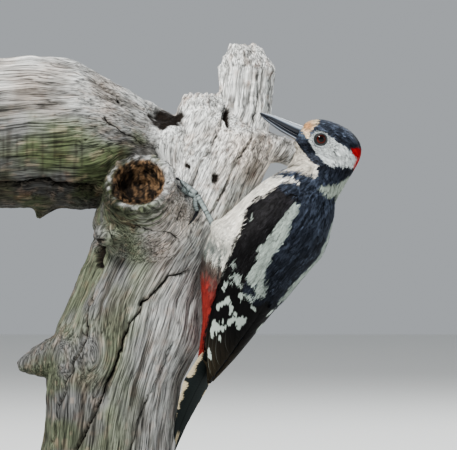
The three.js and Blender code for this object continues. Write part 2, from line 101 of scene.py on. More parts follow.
THROAT = [(52, 250.8), (54.5, 249.4), (57.8, 246.8), (59.6, 244.8), (61.6, 242.3),
          (63.2, 239.8), (64.9, 237.2), (66.5, 235), (68, 233.2), (69, 231.4),
          (69.6, 229.6), (70.4, 228.2), (69.6, 226.6), (69.4, 224.8), (67.7, 225.4),
          (65.7, 226.4), (63.6, 227.4), (61.1, 227.6), (59.6, 228.9), (57.1, 228.4),
          (53, 228.9), (48, 227.9), (42, 226), (50, 246)]
NECK_PATCH = [(71.6, 218.6), (72.2, 219.8), (75, 219.9), (78, 220.4), (80.8, 221),
              (83.8, 222), (85.9, 223.2), (88.4, 224.8), (90.1, 226.2), (94, 227),
              (94, 218), (86.4, 216.6), (84.3, 215.2), (82.8, 214.8), (80.8, 213.8),
              (78.8, 213), (76.3, 213.7), (75, 214.8), (74.2, 216.2)]
DARK_BACK = [(42.4, 225.3), (45.5, 226.9), (48, 227.9), (50.5, 228.6), (53, 228.9),
             (57.1, 228.4), (59.6, 228.9), (61.1, 227.6), (63.6, 227.4), (65.7, 226.4),
             (67.7, 225.4), (70.2, 224.6), (70.7, 226.6), (72, 228.4), (71.2, 230.1),
             (72, 238), (110, 236), (104, 190), (66, 140), (30, 104), (6, 84), (2.6, 99),
             (2.4, 105), (2.2, 113), (2.2, 120), (2.6, 126), (3.2, 131), (4.6, 136),
             (5.4, 140), (6.6, 145), (8.2, 150), (9.8, 155), (11.4, 160), (13.6, 165),
             (15, 170), (17.4, 175), (19.6, 180), (20.8, 185), (24.4, 190), (26.4, 195),
             (27.4, 200), (28.4, 204), (30.6, 208), (33.3, 211), (37.9, 213.2),
             (40.4, 213.7), (42.9, 216.3), (47, 219.5), (48, 221), (50, 221.8),
             (52.5, 222.3), (55.6, 222.1), (58.6, 221.3), (61.4, 220.6), (60.6, 221.8),
             (59.1, 223.1), (56.1, 224.3), (53, 225.1), (44.9, 225.3)]
SCAPULARS = [(58.6, 211.1), (59.5, 206.7), (58.6, 203.5), (54.9, 197.8), (54.5, 195.4),
             (52.9, 190.5), (50.1, 185.7), (47.3, 182), (45.2, 180), (42.8, 176),
             (41.6, 172.8), (40, 168.7), (39.6, 164.7), (40, 161.9), (40.4, 159.6),
             (40.6, 157.4), (39, 154.6), (37.2, 153), (35.6, 154.8), (34.2, 158.4),
             (32.6, 161.2), (29.6, 162.3), (30.4, 164.2), (28.4, 166.4), (30, 168.6),
             (32.2, 172), (34.8, 175.4), (35.4, 182.6), (36.8, 185.3), (39.6, 186.5),
             (42.4, 190.1), (44.8, 193.4), (46.4, 197), (49.3, 201), (54.5, 206.7), (57, 209.9)]
STREAK_WIDE = 1.2  # mm across a streak of lighter or darker barbs
SECTION_STEP = 12.0  # mm along the body from one section to the next
SCALE_LONG, SCALE_WIDE = 5.6, 4.8  # mm from one large feather's tip to the next
HEAD_MIDDLE = np.array([80.0, 0.0, 245.0])
# Section numbers, and the degrees by which the right side's marks lie farther round
# the body there than the left side's.
FAR_SLIP = (4, 5, 8.2, 9.4, 11), (-4, -9, -7, 10, 12)
# Section numbers, and how strong the painted sheen on the black is there.
MANTLE_LIT = (1.4, 2.6, 4.5, 6, 9), (0.3, 1.8, 1.2, 0.4, 0.25)
MANTLE_HALF = 42.0  # degrees from the mid-back over which the black is blue-black, with a bluish painted sheen
MANTLE_ALL = 4.2  # the section before which it is so all round
VENT_FROM = (0.4, 181.0), (12.5, 170.0)  # two places on the line where the vent begins

# ---- Colours, linear -----------------------------------------------------------


def linear(red, green, blue):
    """A colour given as display values from 0 to 255, made linear."""
    shown = np.array([red, green, blue]) / 255
    return np.where(shown > 0.04045, ((shown + 0.055) / 1.055) ** 2.4, shown / 12.92)


BLACK = linear(13, 15, 21)
MANTLE = linear(13, 16, 24)
WING_BLACK = linear(11, 11, 12)
WING_BROWN = linear(52, 46, 34)
BILL_ROOT_GREY = linear(80, 92, 106)
BUFF = linear(246, 226, 196)
BUFF_DEEP = linear(214, 162, 114)
CHEEK_WHITE = linear(208, 214, 214)
THROAT_CREAM = linear(208, 202, 190)
BREAST_WHITE = linear(236, 232, 222)
PATCH_WHITE = linear(164, 175, 168)
NECK_WHITE = linear(176, 186, 174)
RED = linear(190, 28, 26)
VENT_RED = linear(142, 54, 48)
VENT_BROWN = linear(60, 42, 34)
WAX_GREY = linear(150, 156, 158)
BARE_SKIN = linear(44, 46, 50)
# Painted sheen: highlight colours added onto blue-black and onto plain black feathers.
MANTLE_SHEEN = linear(98, 108, 126)
WING_SHEEN = linear(62, 60, 64)
# Painted shade: the grey that the lower belly's white is darkened towards.
BELLY_SHADE = linear(96, 104, 102)

rng = np.random.default_rng(SEED)


def metres(points):
    return (np.asarray(points, float) + SHIFT) / 1000


def millimetres(points):
    return np.asarray(points, float) * 1000 - SHIFT


def smoothstep(low, high, value):
    t = np.clip((value - low) / (high - low), 0, 1)
    return t * t * (3 - 2 * t)


def unit(vectors):
    return vectors / np.maximum(np.linalg.norm(vectors, axis=-1, keepdims=True), 1e-9)


def mix(first, second, share):
    return first * (1 - share) + second * share


def blend(colour, other, share):
    """One colour turned into another by so much at each place."""
    return mix(colour, other, np.clip(share, 0, 1)[..., None])


def hump(value, middle, width):
    """1 at the middle, falling smoothly to almost 0 at twice the width from it."""
    return np.exp(-(((value - middle) / width) ** 2))


def sheen_of(colour):
    """The tint of the painted sheen on black: bluish where the black is blue, else grey."""
    blue = smoothstep(1.15, 1.35, colour[..., 2:] / np.maximum(colour[..., :1], 1e-4))
    return WING_SHEEN + (MANTLE_SHEEN - WING_SHEEN) * blue


def round_angles(count):
    return np.linspace(0, 2 * math.pi, count, endpoint=False)


def at_row(table, number):
    """Each column of a table at a row number that need not be whole."""
    return [np.interp(number, np.arange(len(table)), column) for column in table.T]


def nearest_on(line, flat):
    """How far along a line of points, in rows, each place's nearest point on it lies."""
    best = np.full(len(flat), 1e9)
    number = np.zeros(len(flat))
    for i, (start, end) in enumerate(zip(line, line[1:])):
        run = end - start
        t = np.clip((flat - start) @ run / (run @ run), 0, 1)
        away = np.linalg.norm(flat - start - t[:, None] * run, axis=1)
        nearer = away < best
        best = np.where(nearer, away, best)
        number = np.where(nearer, i + t, number)
    return number


def inside(polygon, x, z):
    """Which places lie in a closed outline."""
    corners = np.asarray(polygon, float)
    found = np.zeros(x.shape, bool)
    for (ax, az), (bx, bz) in zip(corners, np.roll(corners, -1, axis=0)):
        if az == bz:
            continue
        crosses = (az > z) != (bz > z)
        found ^= crosses & (x < (bx - ax) * (z - az) / (bz - az) + ax)
    return found


def lattice(cells):
    """A repeatable random number from 0 to 1 for each whole-number cell."""
    a, b, c = (cells[..., i].astype(np.int64) for i in range(3))
    mixed = (a * 73856093) ^ (b * 19349663) ^ (c * 83492791)
    mixed = (mixed ^ (mixed >> 13)) * 1274126177 & 0x7FFFFFFF
    return (mixed ^ (mixed >> 16)) % 65536 / 65535


def noise(points):
    """Smooth random values from -1 to 1 over space."""
    base = np.floor(points).astype(int)
    part = points - base
    part = part * part * (3 - 2 * part)
    total = 0
    for corner in np.ndindex(2, 2, 2):
        share = np.prod(np.where(corner, part, 1 - part), axis=-1)
        total = total + share * lattice(base + np.array(corner))
    return total * 2 - 1


def layers(points, octaves):
    """Noise at several scales, the finer ones weaker."""
    return sum(noise(points * 2.03**i + 17 * i) * 0.5**i for i in range(octaves))


# ---- Places on the body ----------------------------------------------------------


def on_body(points):
    """For each place: its section number, the angle round the body and the reach."""
    flat = points[:, [0, 2]]
    number = nearest_on(BODY_LINE, flat)
    ax, az, bx, bz, half, y = at_row(SECTIONS, number)
    across = np.stack([bx - ax, bz - az], 1)
    reach = np.linalg.norm(across, axis=1) / 2
    across = unit(across)
    centre = np.stack([(ax + bx) / 2, (az + bz) / 2], 1)
    offset = np.sum((flat - centre) * across, axis=1)
    side = offset / reach
    front = -(points[:, 1] - y) / half
    return {
        "number": number, "turn": np.degrees(np.arctan2(side, front)),
        "far": np.hypot(side, front), "centre": centre, "across": across,
        "reach": reach, "half": half, "y": y,
        "slip": flat - centre - across * offset[:, None],
        "roll": 90 + (BODY_ROLL - 90) * smoothstep(ROLL_FROM, ROLL_TO, number),
    }


def place(body, turn):
    """The places at those angles round the body, at the same sections and reaches."""
    rad = np.radians(turn)
    out = body["across"] * (body["reach"] * body["far"] * np.sin(rad))[:, None]
    out = out + body["centre"] + body["slip"]
    y = body["y"] - body["half"] * body["far"] * np.cos(rad)
    return np.stack([out[:, 0], y, out[:, 1]], 1)


def mirrored(points):
    """The same places on the bird's other side."""
    body = on_body(points)
    return place(body, 2 * body["roll"] - body["turn"])


def left_view(points):
    """Each place as if on the bird's left: x, z, whether the left view shows it, whether
    it is on the head, its place on the body and its degrees from the mid-back."""
    body = on_body(points)
    lean = (body["turn"] - body["roll"] + 180) % 360 - 180
    slip = np.interp(body["number"], *FAR_SLIP)
    turn = np.where(lean > 0, body["roll"] - np.maximum(lean - slip, 0), body["turn"])
    moved = place(body, turn)
    head = (points - HEAD_PLANE[0]) @ HEAD_PLANE[1] > 0
    x = np.where(head, points[:, 0], moved[:, 0])
    z = np.where(head, points[:, 2], moved[:, 2])
    front = head | (np.cos(np.radians(turn)) > -0.15)
    return x, z, front, head, body, np.abs(lean)


def lie_of(points):
    """Which way the feathers point, before it is laid on the skin."""
    number = nearest_on(LIE, points[:, [0, 2]])
    way_x, way_z = at_row(np.gradient(LIE, axis=0), number)
    return unit(np.stack([way_x, 0 * number, way_z], 1))


def barb_streaks(points, body, head):
    """Noise drawn out along the lie of the feathers, for lighter and darker streaks and for where
    the painted sheen on black falls.
    """
    centre = np.stack([body["centre"][:, 0], points[:, 1] * 0, body["centre"][:, 1]], 1)
    beside = (points - centre) / STREAK_WIDE
    beside[:, 1] += body["number"] * 1.5
    way = lie_of(points)
    aside = points - HEAD_MIDDLE
    aside = (aside - 0.85 * np.sum(aside * way, axis=1)[:, None] * way) / STREAK_WIDE
    where = np.where(head[:, None], aside, beside)
    return noise(where) + 0.5 * noise(where * 2.1 + 20)


def scallops(points, body):
    """Where the painted highlights on the large feathers' edges and the painted shade in the gaps
    under them fall, each 0 to 1.
    """
    row = body["number"] * SECTION_STEP / SCALE_LONG + 0.3 * noise(points / 5)
    round_body = np.radians(body["turn"]) * body["far"] * (body["reach"] + body["half"]) / 2
    edge, gap, taken = (np.zeros(len(points)) for _ in range(3))
    for odd in (0, 1):
        across = round_body / SCALE_WIDE + 0.5 * odd + 0.15 * noise(points / 4 + 7)
        from_middle = 2 * (across - np.floor(across)) - 1
        at = row + 0.45 * from_middle**2
        mine = (np.floor(at) % 2 == odd) & (taken == 0)
        taken = taken + mine
        part = at - np.floor(at)
        cell = np.stack([np.floor(at), np.floor(across), at * 0 + odd], 1)
        bright = 0.15 + 0.85 * lattice(cell) ** 1.5
        # Painted highlight on the edge of each large feather.
        edge = edge + mine * bright * smoothstep(0.62, 0.9, part)
        # Painted shade in the gap under the feather above.
        gap = gap + mine * smoothstep(0.25, 0.0, part)
    return edge, gap


def underside(points, x, z, body):
    """Off-white breast, the lower belly greyed in patches as painted shade near the trunk, and the
    vent's brown edge and red.
    """
    # Painted shade on the lower belly, in patches.
    low = 0.95 * smoothstep(7.5, 9.0, body["number"])
    low = low * smoothstep(-1.2, 0.2, noise(points * np.array([0.55, 0.3, 0.16])))
    colour = blend(BREAST_WHITE, BELLY_SHADE, low)
    (ax, az), (bx, bz) = VENT_FROM
    below = (az + (bz - az) * (x - ax) / (bx - ax)) - z
    hair = noise(points * np.array([0.8, 0.5, 0.2]) + 30)
    colour = blend(colour, VENT_BROWN, 0.85 * smoothstep(-3, 3, below + 4 * hair))
    return blend(colour, VENT_RED, smoothstep(8, 18, below + 6 * hair))


def markings(points, x, z, front, head, body, lean):
    """The plain colours of the plumage, by the outlines of its marks."""
    colour = underside(points, x, z, body)
    back = inside(DARK_BACK, x, z) & front & ~head
    colour[back] = WING_BLACK
    colour[back & ((lean < MANTLE_HALF) | (body["number"] < MANTLE_ALL))] = MANTLE
    colour[head] = BLACK
    for outline, tint, where in (
        (SCAPULARS, PATCH_WHITE, ~head), (NECK_PATCH, NECK_WHITE, front),
        (THROAT, THROAT_CREAM, front), (CHEEK, CHEEK_WHITE, head), (BROW, CHEEK_WHITE, head),
        (NAPE, RED, head), (FOREHEAD, BUFF, head), (BILL_ROOT, BILL_ROOT_GREY, head),
    ):
        colour[inside(outline, x, z) & where] = tint
    colour[spotted(x, z) & front & ~head & inside(DARK_BACK, x, z)] = PATCH_WHITE
    colour[~head & ~front & (body["number"] < 3)] = THROAT_CREAM
    warm = np.exp(-(((x - 65.5) / 3.2) ** 2) - ((z - 256.4) / 3) ** 2)
    return blend(colour, BUFF_DEEP, warm * inside(FOREHEAD, x, z) * head)


def plumage(points):
    """The colour of the plumage at places on the bird's skin, streaked, with painted sheen on the
    black and painted shade under the large feathers.
    """
    x, z, front, head, body, lean = left_view(points)
    jag = np.stack([noise(points * 0.9), noise(points * 0.9 + 40)], 1) * 0.5
    colour = markings(points, x + jag[:, 0], z + jag[:, 1], front, head, body, lean)
    streak = barb_streaks(points, body, head)[:, None]
    pale = smoothstep(0.05, 0.3, colour.max(axis=1))[:, None]
    edge, gap = (np.where(head, 0, share)[:, None] for share in scallops(points, body))
    sheen = sheen_of(colour)
    # How strong the painted sheen is: most on top of the crown, and along the back by MANTLE_LIT.
    lit = np.where(head, 0.4 + 2.0 * smoothstep(244, 253, points[:, 2]),
                   np.interp(body["number"], *MANTLE_LIT))[:, None]
    # gleam: the painted sheen on black, along the streaks and on the feather edges.
    gleam = (1 - pale) * lit * (0.05 + 0.6 * smoothstep(-0.2, 1.2, streak) + 0.35 * edge)
    # Painted shade in the gaps under the large feathers, strong on black and faint on white.
    colour = colour * (1 - (0.16 * pale + 0.7 * (1 - pale)) * gap)
    soft = 1 - 0.22 * pale * smoothstep(0.1, -0.9, streak)
    colour = colour * soft * (1 + (0.12 * pale + 0.55 * (1 - pale)) * streak)
    fine = smoothstep(0.1, 0.7, streak) * np.where(head, 0.5, 0.12)[:, None]
    return colour * (1 - pale * fine) + sheen * gleam


# ---- Meshes and materials --------------------------------------------------------


def new_object(name, data):
    made = bpy.data.objects.new(name, data)
    bpy.context.scene.collection.objects.link(made)
    return made


def mesh_object(name, verts, faces):
    """A new smooth object from arrays, verts in metres and faces of one size."""
    mesh = bpy.data.meshes.new(name)
    count, corners = faces.shape
    mesh.vertices.add(len(verts))
    mesh.vertices.foreach_set("co", np.ascontiguousarray(verts, np.float32).ravel())
    mesh.loops.add(count * corners)
    mesh.loops.foreach_set("vertex_index", np.ascontiguousarray(faces, np.int32).ravel())
    mesh.polygons.add(count)
    mesh.polygons.foreach_set("loop_start", np.arange(0, count * corners, corners, dtype=np.int32))
    mesh.polygons.foreach_set("loop_total", np.full(count, corners, np.int32))
    mesh.update(calc_edges=True)
    mesh.polygons.foreach_set("use_smooth", np.full(count, True))
    return new_object(name, mesh)


def paint(made, colours, name="plumage"):
    layer = made.data.color_attributes.new(name, "FLOAT_COLOR", "POINT")
    full = np.ones((len(made.data.vertices), 4), np.float32)
    full[:, :3] = colours
    layer.data.foreach_set("color", full.ravel())


def read(items, key, width, kind=np.float32):
    """One property of all of a mesh's items, with so many numbers for each."""
    values = np.zeros(len(items) * width, kind)
    items.foreach_get(key, values)
    return values.reshape(-1, width)


def set_uv(made, per_vertex):
    layer = made.data.uv_layers.new(name="OFBake")
    index = read(made.data.loops, "vertex_index", 1, np.int32)[:, 0]
    layer.data.foreach_set("uv", np.ascontiguousarray(per_vertex[index], np.float32).ravel())


def vertices(made):
    return read(made.data.vertices, "co", 3).astype(float)


def normals(made):
    return read(made.data.vertex_normals, "vector", 3).astype(float)


def move(made, verts):
    made.data.vertices.foreach_set("co", np.ascontiguousarray(verts, np.float32).ravel())
    made.data.update()


def bake_modifiers(made):
    graph = bpy.context.evaluated_depsgraph_get()
    fixed = bpy.data.meshes.new_from_object(made.evaluated_get(graph))
    made.modifiers.clear()
    made.data = fixed
    return made


def fused(name, nodes, voxel, rounds, filler=None):
    """One smooth closed mesh over some of the solids, its seams gone."""
    verts, faces, base = [], [], 0
    for node in nodes:
        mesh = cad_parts[node].data
        mesh.calc_loop_triangles()
        verts.append(vertices(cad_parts[node]))
        faces.append(read(mesh.loop_triangles, "vertices", 3, np.int32) + base)
        base += len(verts[-1])
    if filler:
        verts.append(filler[0])
        faces.append(np.concatenate([filler[1][:, [0, 1, 2]], filler[1][:, [0, 2, 3]]]) + base)
    made = mesh_object(name, np.concatenate(verts), np.concatenate(faces))
    remesh = made.modifiers.new("fuse", "REMESH")
    remesh.mode, remesh.voxel_size, remesh.use_smooth_shade = "VOXEL", voxel / 1000, True
    soften = made.modifiers.new("soften", "SMOOTH")
    soften.factor, soften.iterations = 0.5, rounds
    return bake_modifiers(made)


def tree_of(made):
    return BVHTree.FromPolygons(
        [Vector(v) for v in vertices(made)], [tuple(p.vertices) for p in made.data.polygons]
    )


def wire(tree, source, target):
    tree.links.new(source, target)


def feed(tree, node, **inputs):
    """Sets inputs of a node, by name, to values or to other nodes' outcomes."""
    for key, value in inputs.items():
        socket = node.inputs[key.replace("_", " ")]
        if isinstance(value, bpy.types.NodeSocket):
            wire(tree, value, socket)
        else:
            socket.default_value = value
    return node


def added(tree, kind, **inputs):
    """A new shader node with its inputs set."""
    return feed(tree, tree.nodes.new(f"ShaderNode{kind}"), **inputs)


def material(name, roughness, **sockets):
    made = bpy.data.materials.new(name)
    made.use_nodes = True
    tree = made.node_tree
    return made, tree, feed(tree, tree.nodes["Principled BSDF"], Roughness=roughness, **sockets)


def vertex_colour(tree, layer):
    """The colours that are painted on the vertices."""
    node = added(tree, "VertexColor")
    node.layer_name = layer
    return node.outputs["Color"]


def add_bump(tree, shader, height, strength, distance):
    bump = added(tree, "Bump", Strength=strength, Distance=distance, Height=height)
    feed(tree, shader, Normal=bump.outputs["Normal"])


def ramp(tree, value, *stops):
    """A colour from a number: each stop is the number, and its grey or its colour."""
    node = added(tree, "ValToRGB", Fac=value)
    elements = node.color_ramp.elements
    for i, (at, tone) in enumerate(stops):
        stop = elements[i] if i < 2 else elements.new(at)
        stop.position, stop.color = at, (*np.broadcast_to(tone, 3), 1)
    return node.outputs["Color"]


def cover(made, surface):
    made.data.materials.clear()
    made.data.materials.append(surface)


def finish_piece(made, surface, *nodes):
    """Gives a piece its material, its body and the nodes that it stands in for."""
    cover(made, surface)
    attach(made, "root")
    if nodes:
        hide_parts(*nodes)


def painted_piece(name, parts, surface, *nodes, uv=None):
    """One piece from several parts, each of verts in millimetres, faces and colours."""
    verts, faces, colour = gathered(parts)
    made = mesh_object(name, metres(verts), faces)
    paint(made, np.clip(colour, 0, 1))
    if uv is not None:
        set_uv(made, uv)
    finish_piece(made, surface, *nodes)


# ---- Skin --------------------------------------------------------------------------

COAT_DEPTH_FACE, COAT_DEPTH_BODY, COAT_DEPTH_TIPS = 0.5, 1.3, 0.5  # mm
SIDES = ("left", "right")
WING_NODES = [f"wing_{s}_{p}" for s in SIDES for p in ("coverts", "secondaries", "primaries")]
FLESH = ["head", "neck", "torso", "thigh_left", "thigh_right", *WING_NODES]
EYE, EYE_RADIUS = np.array([73.3, 9.0, 248.2]), 4.1  # the right eye; the left is at -y
SKIN_VOXEL, SKIN_ROUNDS = 0.85, 14  # mm, and how often the fused skin is smoothed
# The mantle between the wings: section numbers, and degrees each way from the mid-back.
MANTLE_SPAN = (3.5, 5, 7, 13.5), (40, 28, 13, 11)
MANTLE_OUT, MANTLE_IN = 1.0, 0.78  # its faces, as shares of the way out to the outline


def mantle_filler():
    """A closed sheet that bridges the groove between the folded wings."""
    rings = []
    for number in np.linspace(MANTLE_SPAN[0][0], MANTLE_SPAN[0][-1], 40):
        spread = np.interp(number, *MANTLE_SPAN)
        ax, az, bx, bz, half, y = at_row(SECTIONS, number)
        across = np.array([bx - ax, bz - az]) / 2
        turn = np.radians(BODY_ROLL + np.linspace(-spread, spread, 9))
        ring = []
        for far, angles in ((MANTLE_OUT, turn), (MANTLE_IN, turn[::-1])):
            flat = np.array([(ax + bx) / 2, (az + bz) / 2]) + np.outer(far * np.sin(angles), across)
            ring.append(np.stack([flat[:, 0], y - half * far * np.cos(angles), flat[:, 1]], 1))
        rings.append(np.concatenate(ring))
    rings = [rings[0] * 0 + rings[0].mean(0), *rings, rings[-1] * 0 + rings[-1].mean(0)]
    return metres(np.concatenate(rings)), grid_faces(len(rings), len(rings[0]), True)


def make_skin():
    """The skin, the outline that the feather tips reach, and a search tree for each."""
    skin = fused("skin", FLESH, SKIN_VOXEL, SKIN_ROUNDS, mantle_filler())
    outline_tree = tree_of(skin)
    verts, out = vertices(skin), normals(skin)
    places = millimetres(verts)
    body = on_body(places)
    face = smoothstep(234, 246, places[:, 2])
    depth = mix(COAT_DEPTH_BODY, COAT_DEPTH_FACE, face)
    tips = smoothstep(11.5, 13, body["number"]) * (1 - face)
    depth = mix(depth, COAT_DEPTH_TIPS, tips)
    move(skin, verts - out * depth[:, None] / 1000)
    return skin, outline_tree, tree_of(skin)


def feather_material():
    """Painted feathers, black ones glossier at an angle and white ones duller."""
    made, tree, shader = material("feather", 0.62)
    colour = vertex_colour(tree, "plumage")
    tone = added(tree, "RGBToBW", Color=colour).outputs["Val"]
    for socket, black, white in (("Roughness", 0.55, 0.75), ("Specular_IOR_Level", 0.1, 0.3)):
        span = added(tree, "MapRange", Value=tone, From_Max=0.3, To_Min=black, To_Max=white)
        feed(tree, shader, **{socket: span.outputs["Result"]})
    feed(tree, shader, Base_Color=colour)
    return made


def skin_colours(places):
    """The plumage's own colours darkened as painted shade under the feathers, and bare grey skin
    round the eyes.
    """
    return blend(plumage(places) * 0.55, BARE_SKIN, smoothstep(5.9, 5.3, eye_distance(places)))


def eye_distance(places):
    """How far places on the head are from the middle of the eye, seen from the side."""
    away = np.hypot(places[:, 0] - EYE[0] + 0.5, (places[:, 2] - EYE[2] + 0.35) * 1.12)
    return away + 40 * (np.abs(places[:, 1]) < 5)


def unwrap(made):
    """An unwrap of the shape itself, for baking."""
    bpy.ops.object.select_all(action="DESELECT")
    bpy.context.view_layer.objects.active = made
    made.select_set(True)
    bpy.ops.object.mode_set(mode="EDIT")
    bpy.ops.mesh.select_all(action="SELECT")
    bpy.ops.uv.smart_project(angle_limit=math.radians(66), island_margin=0.003)
    bpy.ops.object.mode_set(mode="OBJECT")
    made.data.uv_layers[0].name = "OFBake"
    made.select_set(False)


# ---- Contour feathers --------------------------------------------------------------

PATCH = 0.0015  # half of a tuft's patch on the bake map


def ribbons(centre, side, normal, half, columns, camber):
    """Strips of faces: centre, side, normal are N x R x 3, half is N x R."""
    columns = np.asarray(columns, float)
    count, rows = half.shape
    spread = half[..., None, None] * columns[None, None, :, None]
    verts = centre[:, :, None] + side[:, :, None] * spread
    rise = camber * (1 - columns**2)[None, None, :, None] * half[..., None, None]
    verts = verts + normal[:, :, None] * rise
    wide = len(columns)
    grid = np.arange(rows * wide).reshape(rows, wide)
    quads = np.stack([grid[:-1, :-1], grid[:-1, 1:], grid[1:, 1:], grid[1:, :-1]], -1)
    offsets = np.arange(count)[:, None, None] * rows * wide
    faces = (quads.reshape(1, -1, 4) + offsets).reshape(-1, 4)
    return verts.reshape(-1, 3), faces


def sample_skin(count):
    """Random places on the skin, with their normals and places on its unwrap."""
    mesh = skin.data
    mesh.calc_loop_triangles()
    corner, loops = (read(mesh.loop_triangles, key, 3, np.int32) for key in ("vertices", "loops"))
    area = read(mesh.loop_triangles, "area", 1)[:, 0]
    uv = read(mesh.uv_layers["OFBake"].data, "uv", 2)
    chosen = rng.choice(len(area), count, p=area / area.sum())
    r1, r2 = np.sqrt(rng.random(count)), rng.random(count)
    share = np.stack([1 - r1, r1 * (1 - r2), r1 * r2], 1)[..., None]
    at = (millimetres(vertices(skin))[corner[chosen]] * share).sum(1)
    out = unit((normals(skin)[corner[chosen]] * share).sum(1))
    return at, out, (uv[loops[chosen]] * share).sum(1)


def spaced(points, gap):
    """One place from each cell of that size: fairly even cover."""
    cells = np.floor(points / gap[:, None]).astype(np.int64)
    key = cells[:, 0] * 4_000_003 + cells[:, 1] * 40_009 + cells[:, 2] * 401
    key = key * 31 + np.round(gap * 10).astype(np.int64)
    return np.unique(key, return_index=True)[1]


def on_tree(tree, points):
    """The nearest places on a surface, and its normals there, in millimetres."""
    spots, outs = np.zeros_like(points), np.zeros_like(points)
    for i, p in enumerate(metres(points)):
        spot, out, _, _ = tree.find_nearest(p)
        spots[i], outs[i] = spot, out
    return millimetres(spots), outs


def follow(start, out, way, length, rows):
    """Lines that run along the skin the way the plumage lies."""
    here, normal = start, out
    line, rise, aims = [start], [out], []
    aim = unit(way - normal * np.sum(way * normal, 1, keepdims=True))
    aims.append(aim)
    for _ in range(rows - 1):
        here, normal = on_tree(skin_tree, here + aim * length[:, None] / (rows - 1))
        aim = unit(aim - normal * np.sum(aim * normal, 1, keepdims=True))
        line.append(here)
        rise.append(normal)
        aims.append(aim)
    return np.stack(line, 1), np.stack(rise, 1), np.stack(aims, 1)


def turned(vectors, axes, degrees):
    rad = np.radians(degrees)[:, None]
    return vectors * np.cos(rad) + np.cross(axes, vectors) * np.sin(rad)


ROOTS_TRIED = 480_000  # random places, of which one in each small cell bears a feather
COAT_FROM_EYE = 5.55  # mm from the eye to the nearest feather
BILL_MIDDLE, BILL_CLEAR = (58.5, 250.2), 2.2  # x, z and mm round it without feathers
COAT_LAST = 13.4  # the section where the coat ends
COAT_ROWS = 4
VANE_HALF = 0.19  # of its length
VANE_WIDTHS = np.array([0.45, 1.0, 0.85, 0.12])
VANE_SHADE = np.array([0.4, 0.62, 0.92, 1.06])  # darker where the next feather overhangs
STRAND_ROWS = 3
STRAND_WIDTHS, STRAND_SHADE = np.array([1.0, 0.8, 0.1]), np.array([0.7, 1.0, 1.1])
SHEEN_PATCH = 4.0  # mm across a patch where the painted sheen on black is stronger or weaker
OVER_WING = 0.75  # mm that the shoulder feathers stand over those of the wing
SEEN_AT = 0.72  # the part of a feather's length that shows its colour
# Where long flight feathers lie, so that no short feather is rooted: x, z.
FLIGHT_AREA = [(12, 170), (17, 173), (24, 171), (30, 168), (34, 163), (36.5, 158),
               (39.5, 155.5), (43, 157.5), (46, 162), (51, 165), (62, 165), (50, 140),
               (40, 126), (10, 92), (-1, 90), (1, 120), (4.5, 138), (8, 152)]


def feather_sizes(at, head, face, number, from_eye):
    """How long the feathers are and how far apart they stand, in millimetres."""
    crown = smoothstep(246, 252, at[:, 2]) * (1 - face)
    length = np.where(head, 5.8 - 3.0 * face - 0.8 * crown,
                      np.clip(5.5 + 1.1 * (number - 2), 6, 10.5))
    round_eye = np.minimum(length, 1.2 + 0.35 * (from_eye - 5))
    length = np.where(head & (from_eye < 10), round_eye, length)
    gap = np.where(head, 0.85 + 0.25 * (1 - face), 1.4)
    return length, np.round(np.where(head & (from_eye < 8), 0.6, gap), 1)


def grow_coat():
    """Every contour feather: roots, lines along the skin, lengths and kinds."""
    at, out, uv = sample_skin(ROOTS_TRIED)
    x, z, front, head, body, _ = left_view(at)
    face = smoothstep(88, 66, at[:, 0]) * smoothstep(234, 240, at[:, 2])
    from_eye = eye_distance(at)
    length, gap = feather_sizes(at, head, face, body["number"], from_eye)
    flight = ~head & inside(FLIGHT_AREA, x, z) & front
    bill = np.hypot(at[:, 0] - BILL_MIDDLE[0], at[:, 2] - BILL_MIDDLE[1]) < BILL_CLEAR
    keep = (from_eye > COAT_FROM_EYE) & ~flight & ~bill & (body["number"] < COAT_LAST)
    ids = np.flatnonzero(keep)
    ids = ids[spaced(at[ids], gap[ids])]
    at, out, length = at[ids], out[ids], length[ids] * rng.uniform(0.8, 1.15, len(ids))
    way = turned(lie_of(at), out, rng.normal(0, 7, len(ids)))
    line, rise, aims = follow(at, out, way, length, COAT_ROWS)
    number = body["number"][ids]
    over_wing = front[ids] & ~head[ids] & (np.abs(body["turn"][ids] - BODY_ROLL) < 92)
    depth = np.where(head[ids], 0.55 + 0.5 * (1 - face[ids]), COAT_DEPTH_BODY)
    return {"uv": uv[ids], "length": length, "line": line, "rise": rise, "aims": aims,
            "head": head[ids], "number": number, "depth": depth,
            "raise": OVER_WING * over_wing * smoothstep(3.2, 5.5, number)}


def barb_tones(colour, spread):
    """Colours varied from barb to barb: glints on black, soft shadows on white."""
    light = colour @ np.array([0.21, 0.72, 0.07])
    dark = 1 - smoothstep(0.02, 0.12, light)
    glint = (rng.random(light.shape) ** 4 * dark * spread)[..., None]
    tone = rng.normal(1, 0.13, light.shape)
    tone = (tone - 0.3 * (rng.random(light.shape) < 0.22) * (1 - dark))[..., None]
    return colour * tone + (sheen_of(colour) - colour) * glint


